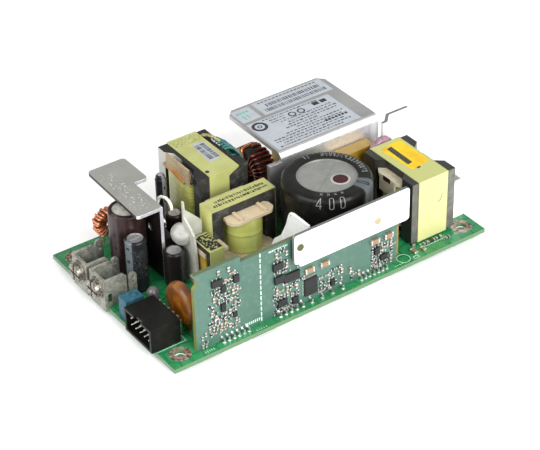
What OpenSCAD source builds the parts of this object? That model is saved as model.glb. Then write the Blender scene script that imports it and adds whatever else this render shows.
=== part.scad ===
// Open frame power supply: a 127 x 76 mm board that carries four wound parts, folded
// heatsinks, capacitors, an upright control board and its connectors. Sizes in mm.
// The origin is the centre of the four fixing holes on the underside of the main board.
// +X runs from the output end to the mains end, +Y to the back edge, +Z up.

/* [Main board] */
// length of the main board along X
board_l = 127; // [126:0.5:150]
// width of the main board along Y
board_w = 76.2; // [76:0.2:90]
// thickness of the main board
board_t = 1.6; // [1.2:0.1:2.4]
// distance of each fixing hole from its two edges
hole_inset = 5.715; // [5:0.005:6]
// diameter of the fixing holes
hole_d = 4; // [3.2:0.1:4.5]
// length of the lead tails under the board
tail = 2; // [1:0.1:3]
// diameter of the round component leads
lead_d = 0.8; // [0.5:0.05:1]

/* [Control board] */
// distance of its left end from the board's left edge
control_x = 10.7; // [9:0.1:13]
// length of the control board
control_l = 80.2; // [78:0.2:84]
// height of its low right part
control_h = 27.4; // [24:0.2:30]
// extra height of its left part
control_step = 2; // [0.5:0.1:3]
// length of the higher left part
control_step_l = 17.5; // [12:0.5:22]
// distance of its front face from the board's front edge
control_y = 3.45; // [3.2:0.05:4]
// thickness of the control board
control_t = 1.6; // [0.8:0.1:1.6]
// height of the control chips
chip_h = 0.9; // [0.6:0.1:1.1]

/* [Front spreader plate] */
// length of the plate
spreader_l = 46.6; // [40:0.2:50]
// height of the plate
spreader_h = 12.6; // [10:0.2:14]
// thickness of the plate
spreader_t = 1.2; // [0.8:0.1:1.3]
// height of its lower edge above the board
spreader_z = 17.5; // [16.5:0.1:19]
// diameter of the two rivets
rivet_d = 1.6; // [1.2:0.1:2.4]

/* [Bulk capacitor] */
// radius of the bulk capacitor over its sleeve
bulk_r = 15.4; // [12.5:0.1:15.5]
// height of the bulk capacitor
bulk_h = 30; // [20:0.2:30]
// thickness of the plastic sleeves
sleeve_t = 0.3; // [0.2:0.05:0.5]

/* [Small capacitors] */
// radius of the output capacitor
output_r = 6.2; // [5:0.1:6.2]
// height of the output capacitor
output_h = 25.4; // [16:0.2:26]
// radius of the filter capacitor
filter_r = 3.7; // [3:0.1:3.7]
// height of the filter capacitor
filter_h = 20; // [12:0.5:22]
// radius of the supply capacitor
supply_r = 3.5; // [2.5:0.1:3.5]
// height of the supply capacitor
supply_h = 13.4; // [10:0.2:13.5]
// radius of the damping capacitor
damping_r = 3.1; // [2.5:0.1:3.3]
// height of the damping capacitor
damping_h = 17; // [12:0.5:20]
// radius of the snubber beside the main transformer
snubber_r = 1.9; // [1.5:0.1:2.2]
// height of the snubber
snubber_h = 22.3; // [16:0.1:24]

/* [Main heatsink] */
// length of the top flange along X
flange_l = 41.5; // [36:0.5:41.5]
// depth of the top flange along Y
flange_w = 33.4; // [28:0.2:33.5]
// height of the flange above the board
flange_h = 30; // [29:0.2:33]
// thickness of the heatsink sheet
flange_t = 1.5; // [1:0.1:2]
// distance of the upright wall from the board's front edge
wall_y = 42.4; // [42.3:0.1:42.8]
// outer radius of its bend
bend_r = 2.6; // [1.6:0.1:3]

/* [Output heatsink] */
// height of its flange above the board
output_sink_h = 28.5; // [28:0.1:31]
// depth of the upright sheet along Y
output_sink_l = 26; // [22:0.5:27]
// reach of the flange towards the terminals
output_sink_w = 9.8; // [8:0.1:10.5]
// thickness of the output heatsink sheet
output_sink_t = 1.2; // [1:0.1:1.6]

/* [Mains heatsink] */
// height of the mains heatsink
mains_sink_h = 28.5; // [24:0.5:31]
// thickness of the mains heatsink sheet
mains_sink_t = 1.2; // [0.8:0.1:1.4]

/* [Power devices] */
// width of a power device
device_w = 10; // [8.5:0.1:10.4]
// thickness of a power device
device_t = 4.5; // [3.5:0.1:4.7]
// height of the moulded body of a power device
device_h = 9.2; // [8:0.1:9.6]

/* [Main transformer] */
// width of the core along X
main_w = 19.2; // [17:0.1:19.4]
// length of the core along Y
main_l = 26; // [24:0.1:26.4]
// height of the core top above the board
main_h = 27.7; // [24:0.1:28]
// width of the tape round the core
main_tape_w = 11.8; // [8:0.1:12]
// thickness of the core tapes
tape_t = 0.3; // [0.1:0.05:0.4]

/* [Standby transformer] */
// length of the core along X
standby_l = 25.2; // [22:0.1:25.2]
// depth of the core along Y
standby_w = 7; // [6:0.1:8]
// height of the core top above the board
standby_h = 24.2; // [20:0.1:25]
// radius of its coil
standby_r = 6.4; // [5.5:0.1:7]

/* [Pulse transformer] */
// depth of the core along X
pulse_w = 5.8; // [5:0.1:6]
// length of the core along Y
pulse_l = 10.2; // [9:0.1:10.4]
// height of the core top above the board
pulse_h = 15.7; // [13:0.1:17]

/* [Boost choke] */
// width of the core along X
boost_w = 18.4; // [17:0.1:18.6]
// length of the core along Y
boost_l = 26; // [24:0.1:26.4]
// height of the core top above the board
boost_h = 24.7; // [22:0.1:26]
// width of the tape round the core
boost_tape_w = 12.5; // [8:0.1:12.6]

/* [Ring chokes] */
// outer radius of the line choke core
line_r = 9; // [7:0.1:9.2]
// width of the line choke core along X
line_w = 6.4; // [5:0.1:7]
// turns in each line choke winding
line_turns = 9; // [7:1:10]
// wire size of the ring chokes
wire_d = 1; // [0.6:0.1:1.1]
// outer radius of the output choke core
ring_r = 4.3; // [3.5:0.1:4.4]
// turns of the output choke
ring_turns = 10; // [7:1:11]

/* [Screw terminals] */
// width of one terminal along Y
terminal_w = 9.4; // [8.5:0.1:9.8]
// length of one terminal along X
terminal_l = 8.5; // [7:0.1:8.6]
// height of one terminal above the board
terminal_h = 10.7; // [9:0.1:12]
// thickness of the terminal sheet
terminal_t = 0.9; // [0.6:0.1:1]
// diameter of the terminal screws
terminal_screw_d = 3.5; // [3:0.1:4]

/* [Signal header] */
// width of the header shroud along Y
header_w = 15.7; // [15.2:0.1:16]
// length of the header shroud along X
header_l = 11; // [10:0.1:11.5]
// height of the header shroud
header_h = 9; // [8.6:0.1:9.6]
// pitch of the header pins
header_pitch = 2.54; // [2:0.01:2.54]

/* [Mains connector] */
// width of the mains connector along X
mains_w = 7.2; // [6.6:0.1:7.3]
// length of the mains connector along Y
mains_l = 14.8; // [12.5:0.1:15]
// height of the mains connector
mains_h = 14.8; // [13:0.1:16]

/* [Coated parts] */
// radius of the orange disc varistor
disc_r = 7.5; // [6:0.1:7.6]
// thickness of the orange disc varistor
disc_t = 4; // [3:0.1:5]
// radius of the lilac disc varistor
lilac_r = 5.2; // [4:0.1:5.3]
// length of the film capacitor
film_l = 14.8; // [12:0.2:15.6]
// height of the film capacitor
film_h = 23.2; // [16:0.2:24]
// length of the boxed line capacitor
xcap_l = 18; // [16:0.5:18]
// depth of the boxed line capacitor
xcap_w = 8.5; // [7:0.1:9]
// height of the boxed line capacitor
xcap_h = 15; // [12:0.5:17]

/* [Insulators] */
// height of the insulator sheet's tip
insulator_h = 30; // [26:0.2:30]
// length of the insulator sheet along X
insulator_l = 7; // [5.5:0.1:7.5]
// length of its folded panel along Y
insulator_fold = 6.9; // [5:0.1:7]
// thickness of the insulator sheets
insulator_t = 0.8; // [0.5:0.1:1]
// radius of the silicone bead
bead_r = 4.1; // [3:0.1:4.1]
// depth of the fin that props the control board
gusset_l = 20.5; // [16:0.5:21]

/* [Hidden] */
$fn = 40;
// running clearance between a lead and its hole, and between close neighbours
hole_gap = 0.15;
gap = 0.3;
pin_s = 0.64;
under = board_t + tail;

// control board and what stands in front of it
control_back = control_y + control_t;
control_end = control_x + control_l;
spreader_end = control_end + 2.9;
spreader_x = spreader_end - spreader_l;
spreader_back = control_y - chip_h - 0.4;
spreader_y = spreader_back - spreader_t;
rivet_x = [spreader_x + 2.2, spreader_end - 13.2];
rivet_z = [25.2, 22.3];
rivet_dz = spreader_z - 17.5;
control_pin_y = control_y - 1.4;
control_pin_w = 0.6;
control_pin_x = concat(
  [for (i = [0:5]) control_x + 9.5 + 1.92 * i],
  [for (i = [0:2]) control_x + 31.5 + 2.2 * i],
  [control_x + 38, control_x + 40.5],
  [for (i = [0:3]) control_x + 44.1 + 4.2 * i],
  [for (i = [0:6]) control_x + 64.4 + 1.78 * i]
);

// capacitors: centre points on the board
bulk_x = 76.6;
bulk_y = 23.1;
output_x = 16.7;
output_y = 52.9;
filter_x = 13.8;
filter_y = 43.2;
supply_x = 25;
supply_y = 37.9;
damping_x = 34.2;
damping_y = 51.6;
snubber_x = 38.6;
snubber_y = board_w - 9.5;
can_pitch = 0.42;

// heatsinks
flange_x = 71.9;
shoulder_w = 4.9;
shoulder_h = flange_h - 3.2;
wall_back = wall_y + flange_t;
output_sink_x = 23.05;
output_sink_y = 42;
output_sink_face = output_sink_x + output_sink_t;
wing_y = 59.6;
wing_l = 15.2;
wing_w = 5.4;
mains_sink_x = board_l - 14.4;
mains_sink_y = 38.9;
mains_sink_jog = 3.3;
mains_sink_end = board_l - 0.5;
device_x = [80, 92.5, 105];
device_y = [48.5, 61.5];
device_z = 5;
tab_t = 1.3;
tab_h = 6.5;
device_screw_z = device_z + device_h + 3.4;
device_pitch = 2.54;

// wound parts
main_x = 52.6;
main_y = board_w - 1.7 - main_l / 2;
main_leg = 4.2;
main_plate = 3.6;
main_foot = 1.8;
standby_x = 50.8;
standby_y = 37.9;
standby_leg = 4.1;
standby_plate = 3.4;
standby_foot = 1.6;
pulse_x = 34.3;
pulse_y = 31.6;
pulse_leg = 1.6;
pulse_foot = 1.4;
boost_x = board_l - 17.7;
boost_y = 20;
boost_leg = 2;
boost_plate = 3.4;
boost_foot = 0.7;
line_x = 74;
line_y = board_w - 14.6;
line_z = 12.4;
line_in = 0.58 * line_r;
ring_x = 20.2;
ring_y = board_w - 3.2;
ring_z = 7;
ring_w = 2.6;
ring_in = 0.5 * ring_r;
wire_gap = 0.15;

// terminals and connectors
terminal_y = [44.5, 55.7];
terminal_screw_z = 5.9;
screw_r = terminal_screw_d / 2;
tab_x = [8.2, 7.9, 8.8];
tab_y = [39.2, 49.7, 61.5];
tab_w = 2.9;
tab_up = 10.3;
header_x = -1.5;
header_y = 10.9;
header_pins = 5;
header_wall = 1;
header_mid = header_y + header_w / 2;
mains_x = board_l - 0.3 - mains_w;
mains_y = 11.2;
mains_wall = 1;
mains_pitch = 3.96;
mains_pins = 3;

// coated parts
disc_x = header_x + header_l + 3.5;
disc_y = 18.1;
disc_z = disc_r + 0.9;
lilac_x = board_l - 17.8;
lilac_y = boost_y + boost_l / 2 + tape_t + 0.6;
lilac_t = 2.8;
lilac_z = 21;
film_x = 92.8;
film_t = 4.8;
film_y = wall_y - 0.6 - film_t;
small_film_x = 83;
small_film_l = 10.3;
small_film_y = control_back + 0.5;
small_film_t = 3;
small_film_h = 12;
xcap_x = 84;
xcap_y = board_w - 19.2;
fuse_x = 108;
fuse_r = 4.2;
fuse_y = wall_back + 4.7 + gap + fuse_r;
bridge_y = mains_sink_y + mains_sink_jog + mains_sink_t;
bridge_x = board_l - 13;
bridge_w = 12.2;
bridge_t = 3.5;
trimmer_x = 0.8;
trimmer_y = 29.3;
lamp_x = 11.8;
lamp_y = 30.5;
lamp_r = 2.1;

// insulators
insulator_y = 38.4;
insulator_x = 29.6;
gusset_x = 55.6;
bead_y = 38.9;
bead_z = 17.6;

// leads of every part, as points on the board
function row(x, y, n, dx, dy) = [for (i = [0:n - 1]) [x + dx * i, y + dy * i]];
bulk_leads = [[bulk_x - 5, bulk_y], [bulk_x + 5, bulk_y]];
output_leads = row(output_x, output_y - 2.5, 2, 0, 5);
filter_leads = row(filter_x, filter_y - 1.5, 2, 0, 3);
supply_leads = row(supply_x, supply_y - 1.25, 2, 0, 2.5);
damping_leads = row(damping_x, damping_y - 1.25, 2, 0, 2.5);
snubber_leads = row(snubber_x, snubber_y - 1, 2, 0, 2);
lamp_leads = row(lamp_x, lamp_y - 1.27, 2, 0, 2.54);
disc_leads = row(disc_x + disc_t / 2, disc_y - 3.75, 2, 0, 7.5);
lilac_leads = row(lilac_x - 2.5, lilac_y + lilac_t / 2, 2, 5, 0);
film_leads = row(film_x + film_l / 2 - 5, film_y + film_t / 2, 2, 10, 0);
small_film_leads = row(small_film_x + 1.4, small_film_y + small_film_t / 2, 2, 7.5, 0);
xcap_leads = row(xcap_x + 1.5, xcap_y + xcap_w / 2, 2, xcap_l - 3, 0);
fuse_leads = row(fuse_x, fuse_y - 2.54, 2, 0, 5.08);
bridge_leads = row(bridge_x + 0.5 * bridge_w - 4.5, bridge_y + bridge_t / 2, 4, 3, 0);
wall_legs = [[flange_x + 4, wall_y + flange_t / 2], [flange_x + flange_l - 4, wall_y + flange_t / 2]];
output_sink_legs = row(output_sink_x + output_sink_t / 2, output_sink_y + 3, 2, 0, output_sink_l - 6);
mains_sink_legs = [[mains_sink_x + 1.2, mains_sink_y + mains_sink_t / 2],
  [mains_sink_end - 3, mains_sink_y + mains_sink_jog + mains_sink_t / 2]];
insulator_legs = [[insulator_x + 5.4, insulator_y + insulator_t / 2]];
gusset_legs = [[gusset_x + insulator_t / 2, 18]];
wall_device_leads = [for (x = device_x, i = [-1:1]) [x + device_pitch * i, wall_back + 3]];
sink_device_leads = [for (y = device_y, i = [-1:1]) [output_sink_face + 3, y + device_pitch * i]];
main_pins = [for (s = [-1, 1], i = [-2:2]) [main_x + s * (main_w / 2 - 0.8), main_y + 3 * i]];
standby_pins = [for (s = [-1, 1], i = [-2:2]) [standby_x + 3.6 * i, standby_y + s * 6.6]];
pulse_pins = [for (s = [-1, 1], i = [-1:1]) [pulse_x + s * 2, pulse_y + 3 * i]];
boost_pins = [for (s = [-1, 1], i = [-1:1]) [boost_x + s * (boost_w / 2 - 1), boost_y + 4 * i]];
line_pins = [for (s = [-1, 1], t = [-1, 1]) [line_x + 4 * s, line_y + 4 * t]];
ring_pins = row(ring_x - 2, ring_y, 2, 4, 0);
terminal_pins = [for (y = terminal_y, s = [-1, 1])
  [terminal_l - 3, y + s * (terminal_w - terminal_t) / 2]];
tab_pins = [for (i = [0:2]) [tab_x[i] + tab_w / 2, tab_y[i] + 0.4]];
header_leads = [for (k = [0, 1], i = [0:header_pins - 1])
  [header_x + header_l + 0.6 + 1.3 * k, header_mid + header_pitch * (i - (header_pins - 1) / 2)]];
mains_leads = row(mains_x + mains_w / 2, mains_y + mains_l / 2 - mains_pitch, mains_pins, 0, mains_pitch);
trimmer_leads = row(trimmer_x + 1, trimmer_y + 2, 3, 2.3, 0);
control_leads = [for (x = control_pin_x) [x, control_pin_y]];
round_leads = concat(output_leads, filter_leads, supply_leads, damping_leads, snubber_leads,
  lamp_leads, disc_leads, lilac_leads, film_leads, small_film_leads, xcap_leads, fuse_leads, bridge_leads, main_pins,
  standby_pins, pulse_pins, boost_pins, line_pins, ring_pins, wall_device_leads, sink_device_leads,
  trimmer_leads);
square_leads = concat(header_leads, mains_leads, control_leads);
leg_leads = concat(bulk_leads, wall_legs, output_sink_legs, mains_sink_legs, insulator_legs,
  gusset_legs, terminal_pins, tab_pins);
leg_d = 1.2;

// ---- shared forms -------------------------------------------------------------------
// moves a part from the board's front left corner into the frame of the fixing holes
module on_board() {
  translate([-board_l / 2, -board_w / 2, board_t]) children();
}

// round lead tails from a height down to the lead tips
module tails(points, top = 0, d = lead_d) {
  for (p = points) translate([p[0], p[1], -under]) cylinder(h = under + top, d = d, $fn = 16);
}

// square pin tails
module square_tails(points, top = 0, s = pin_s) {
  for (p = points) translate([p[0] - s / 2, p[1] - s / 2, -under]) cube([s, s, under + top]);
}

// an upright electrolytic can: rolled rim, sunken lid with a scored cross
module can_body(r, h, lid_r, score) {
  c = min(1.8, 0.15 * r);
  rotate_extrude() polygon([[0, 0], [r, 0], [r, h - c], [r - 0.13 * c, h - 0.5 * c],
    [r - 0.5 * c, h - 0.13 * c], [r - c, h], [lid_r, h], [lid_r, h - 0.4], [0, h - 0.4]]);
}

// the scores cut in a lid
module lid_scores(r, h, w) {
  for (a = [0, 90]) rotate(a) translate([-r, -w / 2, h - 0.4 - w / 2]) cube([2 * r, w, w]);
}

// a printed sleeve shrunk over a can, turned in over its top edge
module can_sleeve(r, t, h, lid_r) {
  c = min(1.8, 0.15 * r);
  rotate_extrude() polygon([[r, 0.4], [r + t, 0.4], [r + t, h - c], [r + t - 0.13 * c, h + t - 0.55 * c],
    [r + t - 0.5 * c, h + t - 0.16 * c], [r - c, h + t], [lid_r + 0.2, h + t], [lid_r + 0.2, h],
    [r - c, h], [r - 0.5 * c, h - 0.13 * c], [r - 0.13 * c, h - 0.5 * c], [r, h - c]]);
}

// one sealed small capacitor with its sleeve and rubber foot
module small_capacitor(r, h) {
  difference() {
    union() {
      rotate_extrude() polygon([[0, 0], [r - 0.3, 0], [r - 0.3, 0.5], [r, 0.7], [r, h - 0.5],
        [r - 0.4, h], [r - 1, h], [r - 1, h - 0.3], [0, h - 0.3]]);
    }
    translate([0, 0, 0.1]) lid_scores(r - 1.6, h, 0.3);
  }
}

// plan outline of a ferrite core with a waist between its end legs
module waisted_plan(w, l, end, waist) {
  hw = w / 2;
  hl = l / 2;
  k = waist / 2;
  polygon([[-hw, -hl], [hw, -hl], [hw, -hl + end], [k, -hl + end + 2.5], [k, hl - end - 2.5],
    [hw, hl - end], [hw, hl], [-hw, hl], [-hw, hl - end], [-k, hl - end - 2.5],
    [-k, -hl + end + 2.5], [-hw, -hl + end]]);
}

// band of tape round a core, in the plane of its end legs
module tape_band(w, l, h, t) {
  difference() {
    translate([-w / 2, -l / 2 - t, -t]) cube([w, l + 2 * t, h + 2 * t]);
    translate([-w / 2 - 1, -l / 2, 0]) cube([w + 2, l, h]);
  }
}

// a moulded power device with its metal tab against a wall at y = 0
module power_device() {
  difference() {
    union() {
      translate([-device_w / 2, 0, device_z]) cube([device_w, device_t, device_h]);
      translate([-device_w / 2, 0, device_z + device_h]) cube([device_w, tab_t, tab_h]);
      for (i = [-1:1]) {
        translate([device_pitch * i, 3, -under])
          cylinder(h = under + device_z, d = lead_d, $fn = 16);
      }
    }
    translate([0, -1, device_screw_z]) rotate([-90, 0, 0])
      cylinder(h = tab_t + 2, d = 3 + 2 * hole_gap);
  }
}

// a cheese head screw whose head sits on a device tab at y = tab_t
module device_screw() {
  translate([0, 0, device_screw_z]) rotate([-90, 0, 0]) difference() {
    union() {
      translate([0, 0, -screw_reach]) cylinder(h = screw_reach + tab_t, d = 3 - 0.1, $fn = 24);
      translate([0, 0, tab_t]) cylinder(h = 2, d = 5.5);
    }
    translate([-3, -0.4, tab_t + 1.2]) cube([6, 0.8, 1]);
  }
}
screw_reach = 1;

// rectangular loop of wire round a ring section, one turn of a winding
module turn(r_in, r_out, w, d, g) {
  translate([(r_in + r_out) / 2, 0, 0]) difference() {
    cube([r_out - r_in + 2 * g + 2 * d, d, w + 2 * g + 2 * d], center = true);
    cube([r_out - r_in + 2 * g, d + 1, w + 2 * g], center = true);
  }
}

// turns spread over an arc of a ring that lies in the XY plane
module ring_turns_arc(r_in, r_out, w, d, g, n, from, to) {
  for (i = [0:n - 1]) rotate(from + (to - from) * i / (n - 1)) turn(r_in, r_out, w, d, g);
}

// an annular core with softened edges
module ring_body(r_in, r_out, w) {
  c = 0.4;
  rotate_extrude() polygon([[r_in + c, -w / 2], [r_out - c, -w / 2], [r_out, -w / 2 + c],
    [r_out, w / 2 - c], [r_out - c, w / 2], [r_in + c, w / 2], [r_in, w / 2 - c],
    [r_in, -w / 2 + c]]);
}

// ---- boards -------------------------------------------------------------------------
module main_board() color([0.10, 0.55, 0.25]) on_board() difference() {
  translate([0, 0, -board_t]) cube([board_l, board_w, board_t]);
  for (x = [hole_inset, board_l - hole_inset], y = [hole_inset, board_w - hole_inset])
    translate([x, y, -board_t - 1]) cylinder(h = board_t + 2, d = hole_d);
  for (p = round_leads) translate([p[0], p[1], -board_t - 1])
    cylinder(h = board_t + 2, d = lead_d + 2 * hole_gap, $fn = 16);
  for (p = square_leads) translate([p[0], p[1], -board_t - 1])
    cylinder(h = board_t + 2, d = pin_s * 1.42 + 2 * hole_gap, $fn = 16);
  for (p = leg_leads) translate([p[0], p[1], -board_t - 1])
    cylinder(h = board_t + 2, d = leg_d + 2 * hole_gap, $fn = 16);
}

// the left part is higher, the left edge has a small bite, two rivet holes
module control_board() color([0.35, 0.62, 0.52]) on_board() difference() {
  translate([control_x, control_back, 0]) rotate([90, 0, 0]) linear_extrude(control_t)
    polygon([[0, 0], [control_l, 0], [control_l, control_h], [control_step_l, control_h],
      [control_step_l, control_h + control_step], [0, control_h + control_step],
      [0, control_h + 1.2], [1.2, control_h], [1.2, control_h - 2.2], [0, control_h - 3.4]]);
  for (i = [0, 1]) translate([rivet_x[i], control_y - 1, rivet_z[i] + rivet_dz])
    rotate([-90, 0, 0]) cylinder(h = control_t + 2, d = rivet_d + 0.2, $fn = 24);
}

// right angle pins that tie the control board to the main board
module control_pins() color([0.85, 0.85, 0.82]) on_board() for (x = control_pin_x) {
  translate([x - control_pin_w / 2, control_pin_y - 0.25, -under + 0.3])
    cube([control_pin_w, 0.5, under + 1.1]);
  translate([x - control_pin_w / 2, control_pin_y + 0.25, 0.9])
    cube([control_pin_w, control_y - control_pin_y - 0.25, 0.5]);
}

// moulded chips on the front of the control board: centre x, z, width, height
control_chip_list = [[8.2, 23.5, 3.8, 2.4], [10.4, 20.4, 1.6, 2.8], [15.4, 22.2, 2, 2.8],
  [10.2, 13.2, 1.6, 3], [14.5, 8.5, 1.4, 1.8], [31.4, 19.6, 3.8, 2.6], [31.9, 14.3, 3.8, 2.8],
  [36.7, 13.4, 6, 3.2], [32.8, 4.6, 3.6, 2.6], [38, 3.4, 2.2, 2.6], [44.2, 6.2, 5, 6.4],
  [71.4, 8.4, 2, 2.8], [74.3, 4.8, 2.8, 2.2], [53, 3.8, 1.4, 2.6]];
module control_chips() color([0.08, 0.08, 0.09]) on_board() for (c = control_chip_list)
  translate([control_x + c[0] - c[2] / 2, control_y - chip_h, c[1] - c[3] / 2])
    cube([c[2], chip_h, c[3]]);

// plain chip capacitors and resistors on the front of the control board: centre x, z
control_passive_list = [[43.8, 12.7], [49.9, 12.6], [70.6, 12.5], [76.3, 12.5],
  [14.2, 17.6], [6, 12], [7.6, 10.2], [12.8, 10.4], [7, 17.2], [9, 27], [12.8, 26.8],
  [12.6, 5], [9.4, 6.2], [31, 24], [35, 23.4], [35, 18.8], [31, 9.6], [35, 9.4],
  [38.8, 8.4], [57, 6.6], [60.6, 5.4], [64, 3], [77.4, 8.6], [77.6, 3.4]];
module control_passives() color([0.72, 0.52, 0.36]) on_board()
  for (i = [0:len(control_passive_list) - 1]) {
    big = i < 4;
    s = big ? [3.4, chip_h, 1.9] : [0.85, 0.5, 1.6];
    c = control_passive_list[i];
    translate([control_x + c[0] - s[0] / 2, control_y - s[1], c[1] - s[2] / 2]) cube(s);
  }

// bright aluminium plate riveted in front of the control board, lower left corner cut back
module front_spreader() color([0.88, 0.89, 0.9]) on_board() difference() {
  translate([spreader_x, spreader_back, spreader_z]) rotate([90, 0, 0])
    linear_extrude(spreader_t) difference() {
      offset(r = 1.2) offset(delta = -1.2) polygon([[0, 1.4], [1.7, 1.4], [1.7, 0],
        [spreader_l, 0], [spreader_l, spreader_h], [0, spreader_h]]);
    }
  for (i = [0, 1]) translate([rivet_x[i], spreader_y - 1, rivet_z[i] + rivet_dz])
    rotate([-90, 0, 0]) cylinder(h = spreader_t + 2, d = rivet_d + 0.2, $fn = 24);
}

// two rivets with a shoulder that spaces the plate from the control board
module front_rivets() color([0.8, 0.72, 0.5]) on_board() for (i = [0, 1])
  translate([rivet_x[i], spreader_y, rivet_z[i] + rivet_dz]) rotate([-90, 0, 0]) {
    translate([0, 0, -0.4]) cylinder(h = 0.4, d = rivet_d + 0.9, $fn = 24);
    cylinder(h = control_back - spreader_y, d = rivet_d, $fn = 24);
    translate([0, 0, spreader_t]) cylinder(h = control_y - spreader_back, d = rivet_d + 1, $fn = 24);
    translate([0, 0, control_back - spreader_y]) cylinder(h = 0.4, d = rivet_d + 0.9, $fn = 24);
  }

// ---- capacitors ---------------------------------------------------------------------
module bulk_can() color([0.7, 0.7, 0.7]) on_board() {
  difference() {
    translate([bulk_x, bulk_y, 0]) can_body(bulk_r - sleeve_t, bulk_h - sleeve_t, bulk_r - 5.3);
    translate([bulk_x, bulk_y, 0.1]) rotate(35) lid_scores(bulk_r - 6, bulk_h - sleeve_t, 0.4);
  }
  tails(bulk_leads, 0, leg_d);
}

module bulk_sleeve() color([0.07, 0.07, 0.08]) on_board() translate([bulk_x, bulk_y, 0])
  can_sleeve(bulk_r - sleeve_t, sleeve_t, bulk_h - sleeve_t, bulk_r - 5.3);

module output_can() color([0.72, 0.72, 0.72]) on_board() {
  difference() {
    translate([output_x, output_y, 0])
      can_body(output_r - sleeve_t, output_h - sleeve_t, output_r - 1.7);
    translate([output_x, output_y, 0.1]) rotate(20) lid_scores(output_r - 2.6, output_h - sleeve_t, 0.3);
  }
  tails(output_leads);
}

module output_sleeve() color([0.18, 0.12, 0.12]) on_board() translate([output_x, output_y, 0])
  can_sleeve(output_r - sleeve_t, sleeve_t, output_h - sleeve_t, output_r - 1.7);

module filter_capacitor() color([0.15, 0.16, 0.18]) on_board() {
  translate([filter_x, filter_y, 0]) small_capacitor(filter_r, filter_h);
  tails(filter_leads);
}

module supply_capacitor() color([0.13, 0.1, 0.1]) on_board() {
  translate([supply_x, supply_y, 0]) small_capacitor(supply_r, supply_h);
  tails(supply_leads);
}

module damping_capacitor() color([0.2, 0.12, 0.11]) on_board() {
  translate([damping_x, damping_y, 0]) small_capacitor(damping_r, damping_h);
  tails(damping_leads);
}

// a slim sleeved snubber that stands on end beside the main transformer
module snubber() color([0.06, 0.06, 0.07]) on_board() {
  translate([snubber_x, snubber_y, 0]) rotate_extrude() polygon([[0, 0], [snubber_r - 0.2, 0],
    [snubber_r, 0.3], [snubber_r, snubber_h - 1.6], [snubber_r - 0.3, snubber_h - 1.3],
    [snubber_r - 0.3, snubber_h - 0.5], [snubber_r - 0.7, snubber_h], [0, snubber_h]]);
  tails(snubber_leads);
}

// ---- heatsinks ----------------------------------------------------------------------
// one folded sheet: an upright wall with a wide shoulder and a flange bent to the back
module main_heatsink() color([0.75, 0.76, 0.78]) on_board() difference() {
  union() {
    translate([flange_x, wall_y, 0]) rotate([90, 0, 90]) linear_extrude(flange_l)
      polygon(concat([[0, 0], [flange_t, 0], [flange_t, flange_h - bend_r], [bend_r, flange_h - flange_t],
        [flange_w, flange_h - flange_t], [flange_w, flange_h]],
        [for (a = [90:15:180]) [bend_r + bend_r * cos(a), flange_h - bend_r + bend_r * sin(a)]]));
    translate([flange_x - shoulder_w, wall_y, 0]) cube([shoulder_w, flange_t, shoulder_h]);
    tails(wall_legs, 0.5, leg_d);
  }
  for (x = device_x) translate([x, wall_y - 1, device_screw_z]) rotate([-90, 0, 0])
    cylinder(h = flange_t + 2, d = 3, $fn = 24);
  for (x = [flange_x, flange_x + flange_l]) translate([x, wall_y + flange_w, flange_h - flange_t - 1])
    rotate(45) cube([3.4, 3.4, 10], center = true);
}

// one folded sheet: an upright sheet along Y, a flange towards the terminals, a small wing
module output_heatsink() color([0.66, 0.67, 0.66]) on_board() difference() {
  union() {
    translate([output_sink_x, output_sink_y, 0])
      cube([output_sink_t, output_sink_l, output_sink_h]);
    translate([0, output_sink_y, output_sink_h - output_sink_t])
      linear_extrude(output_sink_t) offset(r = 1.4) offset(delta = -1.4)
        polygon([[output_sink_face - output_sink_w, 0], [output_sink_face, 0],
          [output_sink_face, wing_y - output_sink_y],
          [output_sink_face + wing_w, wing_y - output_sink_y],
          [output_sink_face + wing_w, wing_y - output_sink_y + wing_l],
          [output_sink_face - output_sink_w + 0.8, wing_y - output_sink_y + wing_l]]);
    tails(output_sink_legs, 0.5, leg_d);
  }
  for (y = device_y) translate([output_sink_x - 1, y, device_screw_z]) rotate([0, 90, 0])
    cylinder(h = output_sink_t + 2, d = 3, $fn = 24);
}

// an upright sheet with a jog round the boost choke
module mains_heatsink() color([0.82, 0.83, 0.84]) on_board() {
  j = mains_sink_jog;
  t = mains_sink_t;
  x1 = mains_sink_x + 2;
  translate([0, mains_sink_y, 0]) linear_extrude(mains_sink_h)
    polygon([[mains_sink_x, 0], [x1, 0], [x1 + j, j], [mains_sink_end, j],
      [mains_sink_end, j + t], [x1 + j - 0.41 * t, j + t], [x1 - 0.41 * t, t], [mains_sink_x, t]]);
  tails(mains_sink_legs, 0, leg_d);
}

// five moulded devices screwed to the two heatsinks
module power_devices() color([0.1, 0.1, 0.11]) on_board() {
  for (x = device_x) translate([x, wall_back, 0]) power_device();
  for (y = device_y) translate([output_sink_face, y, 0]) rotate(-90) power_device();
}

module device_screws() color([0.75, 0.75, 0.76]) on_board() {
  for (x = device_x) translate([x, wall_back, 0]) device_screw();
  for (y = device_y) translate([output_sink_face, y, 0]) rotate(-90) device_screw();
}

// flat bridge rectifier behind the mains heatsink
module bridge_rectifier() color([0.09, 0.09, 0.1]) on_board() {
  translate([bridge_x, bridge_y, 2.5]) cube([bridge_w, bridge_t, 11]);
  tails(bridge_leads, 2.5);
}

// ---- main transformer ---------------------------------------------------------------
main_core_h = main_h - main_foot - 0.8;
module main_core() color([0.09, 0.09, 0.1]) on_board() translate([main_x, main_y, main_h - main_core_h]) {
  difference() {
    linear_extrude(main_core_h) waisted_plan(main_w, main_l, main_leg, main_w - 4.2);
    translate([-main_w, -main_l / 2 + main_leg, main_plate])
      cube([2 * main_w, main_l - 2 * main_leg, main_core_h - 2 * main_plate]);
  }
  translate([0, 0, main_plate]) cylinder(h = main_core_h - 2 * main_plate, r = 4.5);
}

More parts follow.
